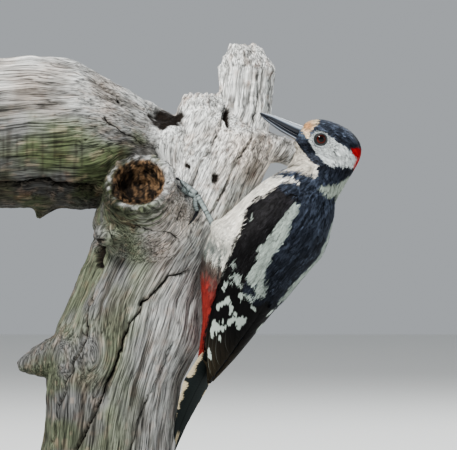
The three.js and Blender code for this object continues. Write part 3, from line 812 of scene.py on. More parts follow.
def strand(pick, centre, side, width, sheen_patch, own_tone):
    """A thin strand of each feather, bent out from its vane: verts, faces, colours."""
    count = len(width)
    bend = rng.uniform(-1, 1, (count, 1))
    start = rng.uniform(0.2, 0.5, (count, 1))
    end = 1.08 - 0.22 * np.abs(bend) + rng.uniform(-0.06, 0.14, (count, 1))
    u = start + (end - start) * np.linspace(0, 1, STRAND_ROWS)
    fan = width[:, None] * bend * smoothstep(0, 1, (u - start) / (end - start)) * 1.15
    up, across = along(pick["rise"], u), along(side, u)
    middle = along(centre, u) + across * fan[..., None]
    middle = middle + up * (0.05 + 0.15 * rng.random((count, 1)) * u)[..., None]
    thin = (0.05 + 0.011 * pick["length"])[:, None] * STRAND_WIDTHS
    verts, faces = ribbons(middle, across, up, thin, (-1, 1), 0)
    back = pick["length"] * (1.05 - SEEN_AT)
    seen = middle[:, -1] - along(pick["aims"], end)[:, 0] * back[:, None]
    colour = barb_tones(plumage(seen), sheen_patch) * own_tone
    tint = colour[:, None, None] * STRAND_SHADE[None, :, None, None]
    return verts, faces, np.broadcast_to(tint, (count, STRAND_ROWS, 2, 3)).reshape(-1, 3)


def coat_object(name, coat, chosen, strands):
    """One piece of plumage: a small vane for each feather, frayed into strands."""
    pick = {k: v[chosen] for k, v in coat.items()}
    count = len(pick["uv"])
    t = np.linspace(0, 1, COAT_ROWS)
    lift = pick["depth"][:, None] * (0.15 + 0.85 * t) + rng.uniform(-0.14, 0.14, (count, 1))
    lift = lift - 0.35 * (t == 0) + pick["raise"][:, None]
    side = np.cross(pick["rise"], pick["aims"])
    centre = pick["line"] + pick["rise"] * lift[..., None]
    width = pick["length"] * VANE_HALF
    half = width[:, None] * VANE_WIDTHS
    verts, faces = ribbons(centre, side, pick["rise"], half, (-1, 0, 1), 0.25)
    seen = along(pick["line"], np.full((count, 1), SEEN_AT))[:, 0]
    # Patches of stronger and weaker painted sheen on the black.
    sheen_patch = 0.2 + 1.0 * smoothstep(-0.3, 0.7, noise(seen / SHEEN_PATCH))
    own_tone = np.clip(rng.normal(1, 0.15, (count, 1)), 0.6, 1.25)
    colour = barb_tones(plumage(seen), 0.4 * sheen_patch) * own_tone
    tint = colour[:, None, None] * VANE_SHADE[None, :, None, None]
    tint = np.broadcast_to(tint, (count, COAT_ROWS, 3, 3)).reshape(-1, 3)
    parts = [(verts, faces, tint)]
    uvs = [patch_uv(pick["uv"], COAT_ROWS, 3)]
    for _ in range(strands):
        parts.append(strand(pick, centre, side, width, sheen_patch, own_tone))
        uvs.append(patch_uv(pick["uv"], STRAND_ROWS, 2))
    painted_piece(name, parts, FEATHER, uv=np.concatenate(uvs))


def patch_uv(roots, rows, columns):
    """A small patch of the bake map at each root, filled by its rows and columns."""
    spot = np.stack(np.meshgrid(np.linspace(-1, 1, rows), np.linspace(-1, 1, columns),
                                indexing="ij"), -1)
    return (roots[:, None, None] + PATCH * spot).reshape(-1, 2)


def along(rows, u):
    """Values between rows: rows is N x R x 3, u is N x S from 0 to 1 and a little over."""
    last = rows.shape[1] - 1
    at = np.clip(u, 0, 1.2) * last
    low = np.clip(np.floor(at).astype(int), 0, last - 1)
    part = (at - low)[..., None]
    pick = np.arange(len(rows))[:, None]
    return mix(rows[pick, low], rows[pick, low + 1], part)


TRIANGLES_AT_MOST = 190_000  # in one piece of the coat
VANE_TRIANGLES, STRAND_TRIANGLES = 12, 4
NECK_TO, CHEST_TO = 3.6, 6.6  # section numbers


def dress_in_feathers():
    """The plumage in pieces by region, each small enough to carry over."""
    coat = grow_coat()
    number, head = coat["number"], coat["head"]
    zones = (
        ("coat_head", head, 6), ("coat_neck", ~head & (number < NECK_TO), 7),
        ("coat_chest", ~head & (number >= NECK_TO) & (number < CHEST_TO), 9),
        ("coat_belly", ~head & (number >= CHEST_TO), 9),
    )
    for zone, member, strands in zones:
        ids = np.flatnonzero(member)
        most = TRIANGLES_AT_MOST // (VANE_TRIANGLES + STRAND_TRIANGLES * strands)
        for part in range(-(-len(ids) // most)):
            coat_object(f"{zone}_{part + 1}", coat, ids[part * most:(part + 1) * most], strands)


# ---- Tubes ---------------------------------------------------------------------------


def smooth_line(points, count):
    """Evenly spread values on a smooth curve through the given rows."""
    points = np.asarray(points, float)
    ends = np.concatenate([[2 * points[0] - points[1]], points, [2 * points[-1] - points[-2]]])
    at = np.linspace(0, len(points) - 1, count)
    low = np.clip(at.astype(int), 0, len(points) - 2)
    t = (at - low).reshape(-1, *[1] * (points.ndim - 1))
    a, b, c, d = (ends[low + i] for i in range(4))
    return 0.5 * (2 * b + (c - a) * t + (2 * a - 5 * b + 4 * c - d) * t**2
                  + (3 * b - a - 3 * c + d) * t**3)


def tube_verts(line, side, top, radii):
    """Rings round a line. The radii have a row for each place on it, a column round it."""
    angle = round_angles(radii.shape[1])
    ring = (side[:, None] * np.sin(angle)[None, :, None]
            + top[:, None] * np.cos(angle)[None, :, None])
    return (line[:, None] + ring * radii[..., None]).reshape(-1, 3)


def sweep(line, radii, sides, upward):
    """An open-ended tube along a line; also how far along it each vertex lies."""
    line = np.asarray(line, float)
    aim = unit(np.gradient(line, axis=0))
    side = unit(np.cross(aim, np.asarray(upward, float)))
    radii = np.broadcast_to(np.asarray(radii, float), (sides, len(line))).T
    verts = tube_verts(line, side, np.cross(side, aim), radii)
    return verts, grid_faces(len(line), sides, True), np.repeat(np.linspace(0, 1, len(line)), sides)


def grid_faces(rows, columns, closed=False, looped=False):
    """The faces of a grid, joined up across its columns if closed, its rows if looped."""
    index = np.arange(rows * columns).reshape(rows, columns)
    right = np.roll(index, -1, axis=1)
    if not closed:
        index, right = index[:, :-1], right[:, :-1]
    if looped:
        index, right = (np.concatenate([part, part[:1]]) for part in (index, right))
    return np.stack([index[:-1], right[:-1], right[1:], index[1:]], -1).reshape(-1, 4)


def gathered(parts):
    """Several verts, faces and colours made into one set."""
    base = np.cumsum([0] + [len(p[0]) for p in parts[:-1]])
    verts = np.concatenate([p[0] for p in parts])
    faces = np.concatenate([p[1] + b for p, b in zip(parts, base)])
    return verts, faces, np.concatenate([p[2] for p in parts])


# ---- Perch ---------------------------------------------------------------------------

PERCH_VOXEL, PERCH_ROUNDS = 1.19, 6  # mm, and how often the wood is smoothed
# The middle of the trunk and of its top stub: height, x, y. Of the limb: x, height, y.
TRUNK_LINE = np.array([
    [14, -60, 28], [60, -56.5, 28], [100, -52.5, 30], [127, -45, 31], [150, -38.5, 34],
    [175, -27.5, 38], [195, -19, 41], [215, -9, 43], [235, 4, 45], [252, 16, 46],
    [266, 23, 47], [292, 28, 48], [310, 27, 48]])
LIMB_LINE = np.array([
    [-133, 252, 43], [-104, 253, 43], [-76, 251, 44], [-62, 248.5, 45], [-47, 243.5, 45],
    [-36, 238.5, 46], [-20, 236, 46], [0, 232, 46]])
# Knots that the grain goes round: x, height, radius.
KNOTS = ((-37.2, 222, 22), (-52, 189, 6.5), (-74, 116, 12), (-96, 210, 6))
# The middle of the broken branch collar's rim, and the way that the branch pointed.
COLLAR = np.array([-37.2, -13.0, 222.0])
COLLAR_AXIS = np.array([-0.131, -0.834, 0.536])
COLLAR_RADIUS = 22.0  # of the folds of callus behind its rim
# Cracks on the side towards the camera, cut in and drawn dark as painted shade: depth, half width,
# then x, height along each.
CRACKS = (
    (3.4, 0.42, [(-2.4, 170), (-19.4, 165), (-31.3, 153), (-39.8, 141), (-46.6, 126),
                 (-50.9, 111), (-58.5, 94), (-67, 77), (-75.5, 62), (-80, 40)]),
    (2.2, 0.3, [(-60, 172), (-62.8, 160), (-67, 145), (-70.4, 128), (-78.9, 106),
                (-87.4, 77), (-91, 50)]),
    (1.6, 0.25, [(-16, 128), (-21, 114), (-29.6, 96), (-36.4, 77), (-41.5, 60), (-44, 36)]),
    (4.5, 0.8, [(-125, 220), (-112, 221.5), (-99, 222.7), (-80, 221), (-60, 217.6)]),
    (2.6, 0.36, [(-66, 286), (-52, 278), (-44, 268), (-36, 262)]),
    (1.6, 0.3, [(-60, 262), (-50, 255), (-40, 250), (-30, 243)]),
    (1.6, 0.3, [(-14, 196), (-9, 210), (-4, 224), (6, 243), (14, 262), (18, 284)]),
    (1.5, 0.28, [(4, 200), (12, 214), (20, 232), (31, 250), (36, 276), (36, 296)]),
    (1.6, 0.3, [(-48, 203), (-40, 196), (-28, 193), (-19, 192), (-8, 182)]),
)
NUB, NUB_RISE = (-54.5, 190.5, 7.0, 4.6), 8.5  # a healed twig: x, height and half sizes
SWELL = (127.0, 3.6, 19.0)  # of the trunk beside the tail: height, rise and length
# Rotten hollows, their darkness painted shade: x, height, half width, half height, depth.
HOLLOWS = ((-20, 261.5, 11, 7.5, 1.2), (-60.6, 178, 2.6, 8.5, 4.0), (17, 262, 2.2, 7, 3.0),
           (9, 226, 1.4, 3.4, 1.6), (-58, 189, 2, 2, 2.0), (-7, 233, 2, 1.6, 1.4),
           (-69, 249, 1.3, 1.1, 1.2))

LIMB_CUT, FOOT_CUT = -133.0, 38.0  # x of the limb's saw cut and height of the trunk's
LIMB_PITH, TRUNK_PITH = (43, 251), (-57.5, 28)  # in those cuts: y, height and x, y
WOOD_GREY = linear(195, 196, 194)
WOOD_TAN = linear(206, 184, 166)
WOOD_FLAKE = linear(190, 166, 146)
WOOD_DARK = linear(70, 64, 56)
WOOD_RUST = linear(150, 100, 70)
WOOD_ROT = linear(132, 106, 80)
# Painted shade: the near black in cracks, pits, hollows and deep in the collar.
RECESS_SHADE = linear(34, 27, 21)
DAMP_TINT = np.array([0.9, 1.0, 0.7])  # what algae do to the dark parts
# Places across the trunk, or up the limb's side, in mm, and how light the wood is painted there, as
# painted light and shade: the limb shaded below and lit on top.
TRUNK_SHADING = (-44, -20, 0, 14, 32), (0.27, 0.34, 0.44, 0.66, 0.88)
LIMB_SHADING = (-38, -30, -16, 4, 22, 36), (0.09, 0.16, 0.24, 0.4, 0.9, 1.3)


def off_line(points, line, along, axis, column):
    """How far places lie along one axis from the middle line of the trunk or the limb."""
    return points[:, axis] - np.interp(points[:, along], line[:, 0], line[:, column])


def grain_of(points, line, along, axis):
    """Across, into and along the wood, bent so that fibres go round the knots."""
    across = off_line(points, line, along, axis, 1)
    deep = off_line(points, line, along, 1, 2)
    front = smoothstep(14, -8, deep)
    for kx, kz, radius in KNOTS:
        offset = points[:, [0, 2]] - (kx, kz)
        away = np.sum(offset**2, axis=1)
        bend = offset[:, axis // 2] * radius**2 / np.maximum(away, radius**2 * 0.7)
        across = across - front * bend
    return np.stack([across, deep, points[:, along]], 1)


def trunk_grain(points):
    return grain_of(points, TRUNK_LINE, 2, 0)


def limb_grain(points):
    return grain_of(points, LIMB_LINE, 0, 2)


def fibre(grain, wide, long):
    """Streaky noise, so many millimetres wide and long."""
    return noise(grain / np.array([wide, wide, long]))


def limb_share(points):
    """1 on the limb, 0 on the trunk."""
    x, _, z = points.T
    return smoothstep(-16, -44, x) * smoothstep(196, 214, z)


def ridges(grain):
    """Raised and sunken fibres in millimetres."""
    furrow = 1 - 2 * np.abs(fibre(grain, 3.4, 55))
    return (1.3 * fibre(grain, 11, 90) + 0.75 * furrow + 0.5 * fibre(grain + 31, 2.3, 26)
            + 0.3 * fibre(grain + 57, 1.5, 14))


def nub_distance(points):
    return np.hypot((points[:, 0] - NUB[0]) / NUB[2], (points[:, 2] - NUB[1]) / NUB[3])


def cracks_at(points, facing):
    """The depth in millimetres and openness of cracks and hollows, the openness setting
    the painted shade of the hollows, and the nearest crack: how far to which side of it
    each place is, and how wide its dark line of painted shade may be drawn."""
    x, z = points[:, 0], points[:, 2]
    x = x + noise(points * 0.16) * 1.5 + noise(points * 0.6 + 9) * 0.6
    z = z + noise(points * 0.16 + 50) * 1.5 + noise(points * 0.6 + 70) * 0.6
    depth, dark = np.zeros(len(points)), np.zeros(len(points))
    best, beside, width = np.full(len(points), 1e9), np.zeros(len(points)), np.zeros(len(points))
    for deep, half, path in CRACKS:
        done = np.linspace(0, 1, len(path))
        for i, ((ax, az), (bx, bz)) in enumerate(zip(path, path[1:])):
            run = np.array([bx - ax, bz - az])
            t = ((x - ax) * run[0] + (z - az) * run[1]) / (run @ run)
            held = np.clip(t, 0, 1)
            away = np.hypot(x - ax - held * run[0], z - az - held * run[1])
            side = ((x - ax) * run[1] - (z - az) * run[0]) / np.hypot(*run)
            far = done[i] + (done[i + 1] - done[i]) * held
            taper = half * smoothstep(0, 0.08, far) * smoothstep(1, 0.8, far)
            nearer = away < best
            best = np.where(nearer, away, best)
            beside = np.where(nearer, side, beside)
            width = np.where(nearer, taper * (away < 4.5), width)
            gone = hump(away, 0, 1.1 * half + 0.3) * facing * (taper > 0.1)
            depth = np.maximum(depth, deep * gone)
    for hx, hz, wide, high, deep in HOLLOWS:
        away = np.hypot((x - hx) / wide, (z - hz) / high) + 0.28 * noise(points / 2.8)
        gone = smoothstep(1.15, 0.6, away) * facing
        depth = np.maximum(depth, deep * gone)
        # How dark the hollow is painted, as shade.
        dark = np.maximum(dark, gone)
    width = width * facing * (1 + 0.4 * noise(points * 0.2 + 5))
    return depth, dark, np.stack([beside, width, 0 * width], 1)


def in_collar(points):
    """How far each place lies out along the broken branch collar, and from its axis."""
    from_rim = points - COLLAR
    out = from_rim @ COLLAR_AXIS
    return out, np.linalg.norm(from_rim - out[:, None] * COLLAR_AXIS, axis=1)


def folds_round(out, points):
    """Where the callus under the broken collar folds in, 0 to 1."""
    return smoothstep(0.1, 0.95, np.sin(out * 1.35 + 2.6 * noise(points / 9)))


def wood_tone(points, share, grain):
    """How light the wood is, much of it painted light and shade, and where the trunk's pale bare
    column stands.
    """
    z = points[:, 2]
    across = off_line(points, TRUNK_LINE, 2, 0, 1)
    column = smoothstep(166, 215, z + 0.7 * across) * (1 - share)
    # Painted light and shade across the trunk, darker towards the bottom.
    trunk = np.interp(across, *TRUNK_SHADING) * (0.66 + 0.34 * smoothstep(50, 125, z))
    # The bare column: bleached pale wood, made lighter still as painted light.
    trunk = trunk + (1.9 - trunk) * column
    # Painted light on the top of the healed twig.
    trunk = trunk + 0.25 * hump(nub_distance(points), 0, 1) * smoothstep(-3, 3, z - NUB[1])
    height = off_line(points, LIMB_LINE, 0, 2, 1)
    # The limb: painted shade on its underside, painted light on its top.
    tone = mix(trunk, np.interp(height, *LIMB_SHADING), share)
    out, radius = in_collar(points)
    # Darker in a ring round the collar, and painted shade in the folds of the callus.
    around = hump(radius, COLLAR_RADIUS, 7) * smoothstep(-26, -10, out)
    tone = tone * (1 - 0.45 * around) * (1 - 0.5 * around * folds_round(out, points))
    return tone * (1 + 0.2 * fibre(grain + 3, 5, 60) + 0.16 * layers(points / 26, 2)), column


def weathered(points, share, grain):
    """Grey wood, lit and shaded by wood_tone's painted light and shade, green where damp, with
    flakes, streaks, drips, pits and rust.
    """
    tone, column = wood_tone(points, share, grain)
    height = off_line(points, LIMB_LINE, 0, 2, 1)
    damp = smoothstep(0.75, 0.25, tone) * smoothstep(-0.7, 0.3, layers(points / 17 + 5, 2))
    soft = smoothstep(-0.3, 0.6, layers(points / 34 + 9, 2)) * smoothstep(0.4, 0.8, tone)
    colour = blend(np.tile(WOOD_GREY, (len(points), 1)), WOOD_TAN, 0.4 * soft)
    green = DAMP_TINT ** (1 + 0.8 * share[:, None])
    # The painted light and shade, and algae green where it is dark.
    colour = colour * (1 + (green - 1) * damp[:, None]) * np.clip(tone, 0.05, 1.75)[:, None]
    flake = smoothstep(0.28, 0.6, noise(grain / np.array([2.2, 2.2, 5.0]) + 90))
    colour = blend(colour, WOOD_FLAKE, flake * (0.2 + 0.15 * column))
    streak = smoothstep(0.15, 0.6, fibre(grain + 71, 1.8, 60))
    colour = blend(colour, WOOD_DARK, streak * (0.26 + 0.2 * column))
    drips = smoothstep(0.0, 0.6, noise(points / np.array([1.5, 3.0, 22.0]) + 61))
    colour = blend(colour, WOOD_DARK * 0.6, 0.5 * drips * share * smoothstep(14, -6, height))
    # Pits, darkened as painted shade.
    pits = smoothstep(0.42, 0.66, noise(points / 1.9 + 40)) * (0.2 + 0.3 * column)
    colour = blend(colour, RECESS_SHADE, pits)
    rust = smoothstep(0.3, 0.8, layers(points / 8 + 13, 3)) * (0.15 + 0.25 * column)
    return blend(colour, WOOD_RUST, rust * smoothstep(0.2, -0.5, fibre(grain + 11, 3, 20)))


def with_collar(points, colour):
    """Those colours with the crumbling rot in the collar, darker deeper in as painted shade, and
    its pale rim.
    """
    out, radius = in_collar(points)
    crumbs = points / np.array([1.7, 4.0, 5.0])
    # Rot in the collar, darker deeper in as painted shade.
    rot = blend(np.tile(RECESS_SHADE, (len(points), 1)), WOOD_ROT,
                smoothstep(-0.4, 0.6, layers(crumbs, 3)) * smoothstep(-26, -8, out))
    bowl = smoothstep(17.5, 15.5, radius) * smoothstep(-22, -15, out)
    colour = blend(colour, rot, bowl)
    rim = hump(radius, 18.3, 1.3) * smoothstep(-7, -2, out)
    return blend(colour, WOOD_GREY * 0.75, rim * smoothstep(-0.3, 0.5, noise(points / 2.4)))


def with_cuts(points, colour):
    """Those colours with the year rings and rays of the two saw cuts."""
    x, y, z = points.T
    cut, from_pith = sawn(points)
    rings = np.sin((from_pith + 1.6 * noise(points / 11)) * 1.5)
    limb_turn = np.arctan2(y - LIMB_PITH[0], z - LIMB_PITH[1])
    trunk_turn = np.arctan2(y - TRUNK_PITH[1], x - TRUNK_PITH[0])
    rays = smoothstep(0.5, 0.9, noise(np.stack([
        from_pith / 30, limb_turn * 6, trunk_turn * 6], 1)))
    face = WOOD_TAN * (0.6 + 0.16 * rings - 0.3 * rays)[:, None]
    return blend(colour, face, cut)


def perch_colours(points, dark, raised):
    """Weathered wood with its rotten collar, saw cuts, darker furrows and black cracks and hollows,
    their darkness painted shade.
    """
    share = limb_share(points)
    grain = np.where(share[:, None] > 0.5, limb_grain(points), trunk_grain(points))
    colour = weathered(points, share, grain)
    # Painted shade in the sunken furrows.
    colour = blend(colour, WOOD_DARK, 0.6 * smoothstep(0.2, -1.4, raised))
    colour = with_cuts(points, with_collar(points, colour))
    # Painted shade in the hollows.
    return blend(colour, RECESS_SHADE, dark * 1.2)


def sawn(points):
    """Where the flat saw cuts of limb and foot are, 0 to 1, and the distance from the pith."""
    limb_end = smoothstep(LIMB_CUT + 0.6, LIMB_CUT + 0.2, points[:, 0])
    foot = smoothstep(FOOT_CUT + 0.6, FOOT_CUT + 0.2, points[:, 2])
    from_limb = np.hypot(points[:, 1] - LIMB_PITH[0], points[:, 2] - LIMB_PITH[1])
    from_trunk = np.hypot(points[:, 0] - TRUNK_PITH[0], points[:, 1] - TRUNK_PITH[1])
    return np.maximum(limb_end, foot), np.where(limb_end > 0, from_limb, from_trunk)


def attribute(tree, name):
    found = tree.nodes.new("ShaderNodeAttribute")
    found.attribute_name = name
    return found


def reckon(tree, operation, first, second, third=0.0):
    """The outcome of a Math node on numbers and other nodes' outcomes."""
    node = tree.nodes.new("ShaderNodeMath")
    node.operation = operation
    for socket, value in zip(node.inputs, (first, second, third)):
        if isinstance(value, (int, float)):
            socket.default_value = value
        else:
            wire(tree, value, socket)
    return node.outputs["Value"]


def wood_noise(tree, share, scale, detail):
    """Noise along the fibres of the trunk, and of the limb where its share is 1."""
    pair = []
    for which in ("trunk_grain", "limb_grain"):
        vector = attribute(tree, which).outputs["Vector"]
        pair.append(added(tree, "TexNoise", Scale=scale, Detail=detail, Vector=vector))
    a, b = (texture.outputs["Fac"] for texture in pair)
    return added(tree, "Mix", Factor=share, A=a, B=b).outputs["Result"]


def multiplied(tree, first, second, factor):
    node = tree.nodes.new("ShaderNodeMix")
    node.data_type, node.blend_type = "RGBA", "MULTIPLY"
    return feed(tree, node, Factor=factor, A=first, B=second).outputs["Result"]


def wood_material():
    """Weathered wood: fibres, hairline checks where a noise passes its middle, cracks; the checks
    and cracks drawn dark as painted shade.
    """
    made, tree, shader = material("weathered_wood", 0.85, Specular_IOR_Level=0.22)
    share = attribute(tree, "limb").outputs["Fac"]
    streaks = wood_noise(tree, share, 1.25, 4)
    fibres = wood_noise(tree, share, 2.8, 3)
    checks = wood_noise(tree, share, 0.26, 3)
    # Hairline checks, drawn dark as painted shade.
    hairline = reckon(tree, "ABSOLUTE", reckon(tree, "SUBTRACT", checks, 0.5), 0.0)
    crack = added(tree, "SeparateXYZ", Vector=attribute(tree, "crack").outputs["Vector"])
    away = reckon(tree, "ABSOLUTE", crack.outputs["X"], 0.0)
    beyond = reckon(tree, "SUBTRACT", away, crack.outputs["Y"])
    # The crack lines, drawn dark as painted shade.
    wall = reckon(tree, "MULTIPLY_ADD", beyond, 1.6, 0.5)
    colour = vertex_colour(tree, "wood")
    for value, stops, factor in ((streaks, ((0.36, 0.36), (0.6, 1.2)), 1.0),
                                 (hairline, ((0.0, 0.2), (0.028, 1.0)), 0.85),
                                 (wall, ((0.0, 0.05), (0.6, 1.0)), 1.0)):
        colour = multiplied(tree, colour, ramp(tree, value, *stops), factor)
    feed(tree, shader, Base_Color=colour)
    height = reckon(tree, "ADD", streaks, fibres)
    height = reckon(tree, "MULTIPLY_ADD", reckon(tree, "MINIMUM", hairline, 0.03), 14.0, height)
    add_bump(tree, shader, height, 0.8, 0.001)
    return made


def vector_attribute(made, name, values):
    kind = "FLOAT_VECTOR" if values.ndim == 2 else "FLOAT"
    layer = made.data.attributes.new(name, kind, "POINT")
    key = "vector" if values.ndim == 2 else "value"
    layer.data.foreach_set(key, np.ascontiguousarray(values, np.float32).ravel())


def cut_ends(places, out):
    """Where the flat faces of the saw cuts stay flat, 0 to 1."""
    limb = smoothstep(LIMB_CUT + 3, LIMB_CUT + 1, places[:, 0])
    foot = smoothstep(FOOT_CUT + 3, FOOT_CUT + 1, places[:, 2])
    return np.clip(limb * smoothstep(0.3, 0.8, -out[:, 0])
                   + foot * smoothstep(0.3, 0.8, -out[:, 2]), 0, 1)


def callus_folds(places):
    """How far the callus behind the collar's rim stands out or folds in."""
    out, radius = in_collar(places)
    folds = hump(radius, COLLAR_RADIUS, 4.5) * smoothstep(-16, -4, out)
    return folds * (0.4 - folds_round(out, places)) * 1.9


def tail_swell(places, out):
    """How far the trunk swells out beside the tail."""
    swell = SWELL[1] * hump(places[:, 2], SWELL[0], SWELL[2])
    return swell * smoothstep(0.2, 0.8, out[:, 0])


def healed_nub(places):
    """How far the healed twig stands out of the groove round it."""
    nub = nub_distance(places)
    return NUB_RISE * hump(nub, 0, 1) - 1.6 * hump(nub, 1.55, 0.3)


def make_perch():
    """The cut trunk, its fibres, cracks and broken knots worked into the mesh."""
    perch = fused("perch_wood", ["perch"], PERCH_VOXEL, PERCH_ROUNDS)
    places, out = millimetres(vertices(perch)), normals(perch)
    share, on_trunk, on_limb = limb_share(places), trunk_grain(places), limb_grain(places)
    raised = mix(ridges(on_trunk), ridges(on_limb), share)
    facing = smoothstep(0.25, -0.35, out[:, 1])
    collar_out, radius = in_collar(places)
    in_bowl = smoothstep(19, 15, radius) * smoothstep(-22, -14, collar_out)
    depth, dark, crack = cracks_at(places, facing * (1 - in_bowl))
    rim = hump(radius, 19, 4) * smoothstep(-9, -2, collar_out)
    crinkle = noise(places / 2.6) * 1.7 + noise(places / 5.5 + 3) * 1.5
    top = smoothstep(262, 272, places[:, 2]) * (1 - share)
    quiet = (1 - cut_ends(places, out)) * (1 - 0.8 * in_bowl)
    shift = 1.1 * layers(places / 17, 2) + 0.85 * raised + rim * crinkle + 0.5 * top * crinkle
    shift = shift + tail_swell(places, out) * (1 - share)
    shift = shift + callus_folds(places) + facing * healed_nub(places)
    shift = shift * quiet + in_bowl * layers(places / 4.5, 3) * 1.8 - depth * quiet
    spiky = np.maximum(fibre(on_trunk + 5, 3.0, 40), -0.2) * 3.2
    moved = places + out * shift[:, None]
    moved[:, 2] += spiky * top * smoothstep(0.2, 0.8, out[:, 2])
    move(perch, metres(moved))
    paint(perch, perch_colours(moved, dark, shift), "wood")
    stretch = np.array([1, 1, 0.04])
    for name, values in (("trunk_grain", on_trunk * stretch), ("limb_grain", on_limb * stretch),
                         ("limb", share), ("crack", crack)):
        vector_attribute(perch, name, values)
    finish_piece(perch, wood_material(), "perch")
    return tree_of(perch)


# ---- Feet ----------------------------------------------------------------------------

# Where each shank leaves the belly feathers and the foot's ball, and the way out of the
# wood and to the foot's own side there.
HEEL_TO_BALL = {"left": ((8.9, 3, 194.6), (0.3, 0, 214)),
                "right": ((32.1, 37, 191.1), (24, 52, 205))}
OUT_OF_WOOD = {"left": (0.25, -0.97, 0), "right": (0.86, 0.5, 0)}
TO_SIDE = {"left": (-1, 0, 0), "right": (-0.5, 0.86, 0)}
# Each toe as steps to the side and up from the ball of the foot, and its claw's point.
TOES = (
    ([(0, 0), (-2.5, -4), (-4.5, -7.5)], (-5.5, -12)),
    ([(0, 0.8), (5, 5.5), (9.5, 9)], (14, 11.5)),
    ([(0, 0), (5, 1.8), (11, 4.8)], (16.5, 6.2)),
    ([(0, 0), (1, -5), (-0.2, -9.5)], (7, -18)),
)
TOE_RADII = (2.05, 1.8, 1.5)
TARSUS_RADII = (2.0, 1.6, 1.95)
CLAW_RADII = (1.15, 0.95, 0.6, 0.12)
CLAW_ARCH, CLAW_ROWS, CLAW_SIDES = 2.4, 14, 12
SCUTE_LONG, TOE_ROWS, TOE_SIDES = 1.15, 16, 16  # mm, and the rings between two points
# Lit and shaded copies of the foot's grey: painted light on top, painted shade below.
FOOT_SHADED = linear(26, 30, 30)
FOOT_LIT = linear(134, 144, 144)
CLAW_DARK = linear(38, 38, 44)


def scaly(line, radii, upward):
    """A toe or shank with overlapping scutes along its top, painted light on top and shade below.
    """
    count = TOE_ROWS * (len(line) - 1) + 1
    fine = smooth_line(line, count)
    size = smooth_line(np.asarray(radii, float)[:, None], count)[:, 0]
    run = np.concatenate([[0], np.cumsum(np.linalg.norm(np.diff(fine, axis=0), axis=1))])
    ends = np.ones(count)
    ends[0], ends[-1] = 0.05, 0.3
    scute = (run / SCUTE_LONG) % 1
    top = smoothstep(-0.3, 0.6, np.cos(round_angles(TOE_SIDES)))
    swell = 1 + 0.15 * (scute[None] - 0.5) * top[:, None]
    swell = swell + 0.05 * np.sin(run * 5.5)[None] * (1 - top)[:, None]
    verts, faces, _ = sweep(fine, size * ends * swell, TOE_SIDES, upward)
    edge = (0.06 + 0.94 * smoothstep(0, 0.3, scute))[:, None, None] * np.ones((1, TOE_SIDES, 1))
    # Painted light on the top, painted shade on the sides and below.
    colour = FOOT_SHADED + (FOOT_LIT - FOOT_SHADED) * top[None, :, None] ** 3
    colour = (colour * edge).reshape(-1, 3) * (1 + 0.5 * noise(verts * 0.8))[:, None]
    return verts, faces, colour


def make_foot(side, wood):
    """A shank, four toes laid on the wood, and their claws."""
    out = unit(np.array(OUT_OF_WOOD[side], float))
    sideways = unit(np.array(TO_SIDE[side], float))
    up = np.cross(out, sideways)
    up = unit(up * np.sign(up[2]))
    heel, ball = (np.array(p, float) for p in HEEL_TO_BALL[side])

    def on_wood(step, lift):
        start = ball + sideways * step[0] + up * step[1] + out * 60
        hit = wood.ray_cast(Vector(metres(start)), Vector(-out))[0]
        return millimetres(hit) + out * lift

    knuckle = on_wood((0, 0.5), TOE_RADII[0] * 1.15)
    shank = [heel, heel * 0.5 + knuckle * 0.5 + out * 0.6, knuckle]
    parts, claws = [scaly(shank, TARSUS_RADII, out)], []
    for path, tip in TOES:
        line = [on_wood(step, radius * 0.95) for step, radius in zip(path, TOE_RADII)]
        parts.append(scaly(line, TOE_RADII, out))
        point = on_wood(tip, 0.1)
        arch = line[-1] * 0.45 + point * 0.55 + out * CLAW_ARCH
        curve = smooth_line([line[-1] - out * 0.2, arch, point], CLAW_ROWS)
        radii = smooth_line(np.array(CLAW_RADII)[:, None], CLAW_ROWS)[:, 0]
        radii[-1] = 0.02
        verts, faces, t = sweep(curve, radii, CLAW_SIDES, out)
        claws.append((verts, faces, np.outer(1 - 0.3 * t, CLAW_DARK)))
    toe_nodes, claw_nodes = (
        [f"{kind}_{side}_{n + 1}" for n in range(len(TOES))] for kind in ("toe", "claw"))
    painted_piece(f"foot_{side}", parts, FOOT, f"tarsus_{side}", *toe_nodes)
    painted_piece(f"claws_{side}", claws, HORN, *claw_nodes)


def painted_material(name, roughness, bump_scale=0.0, bump_depth=0.0, **sockets):
    """A surface coloured by its vertices, with a fine grain."""
    made, tree, shader = material(name, roughness, **sockets)
    feed(tree, shader, Base_Color=vertex_colour(tree, "plumage"))
    if bump_scale:
        place_on = added(tree, "TexCoord").outputs["Object"]
        texture = added(tree, "TexNoise", Scale=bump_scale, Vector=place_on)
        add_bump(tree, shader, texture.outputs["Fac"], 0.5, bump_depth)
    return made


# ---- Bill ----------------------------------------------------------------------------

# Lower x, z, upper x, z and half-width of each section, from the base to the tip.
UPPER_BILL = np.array([
    [63.5, 248.2, 66, 255.6, 4.4], [61.5, 249.7, 63.5, 256.2, 4.3],
    [56, 252.4, 58.2, 257.9, 3.9], [50, 255.9, 52, 260.2, 3.1],
    [44, 259.6, 45.4, 262.6, 2.2], [39.5, 262.2, 40.2, 264, 1.5],
    [36.8, 263.6, 37.1, 264.6, 0.9], [36.1, 264, 36.2, 264.3, 0.25]])
LOWER_BILL = np.array([
    [62, 245.2, 63.6, 247.8, 4.1], [59, 246.8, 61.4, 249.6, 3.9],
    [54.4, 249.7, 55.9, 252.3, 3.5], [48.4, 253.3, 49.9, 255.8, 2.7],
    [42.8, 257.3, 43.9, 259.5, 1.9], [39, 260.4, 39.7, 262.1, 1.3],
    [36.9, 262.6, 37.3, 263.5, 0.7], [36.4, 263.2, 36.6, 263.6, 0.2]])
BILL_RINGS, BILL_SIDES = 56, 40
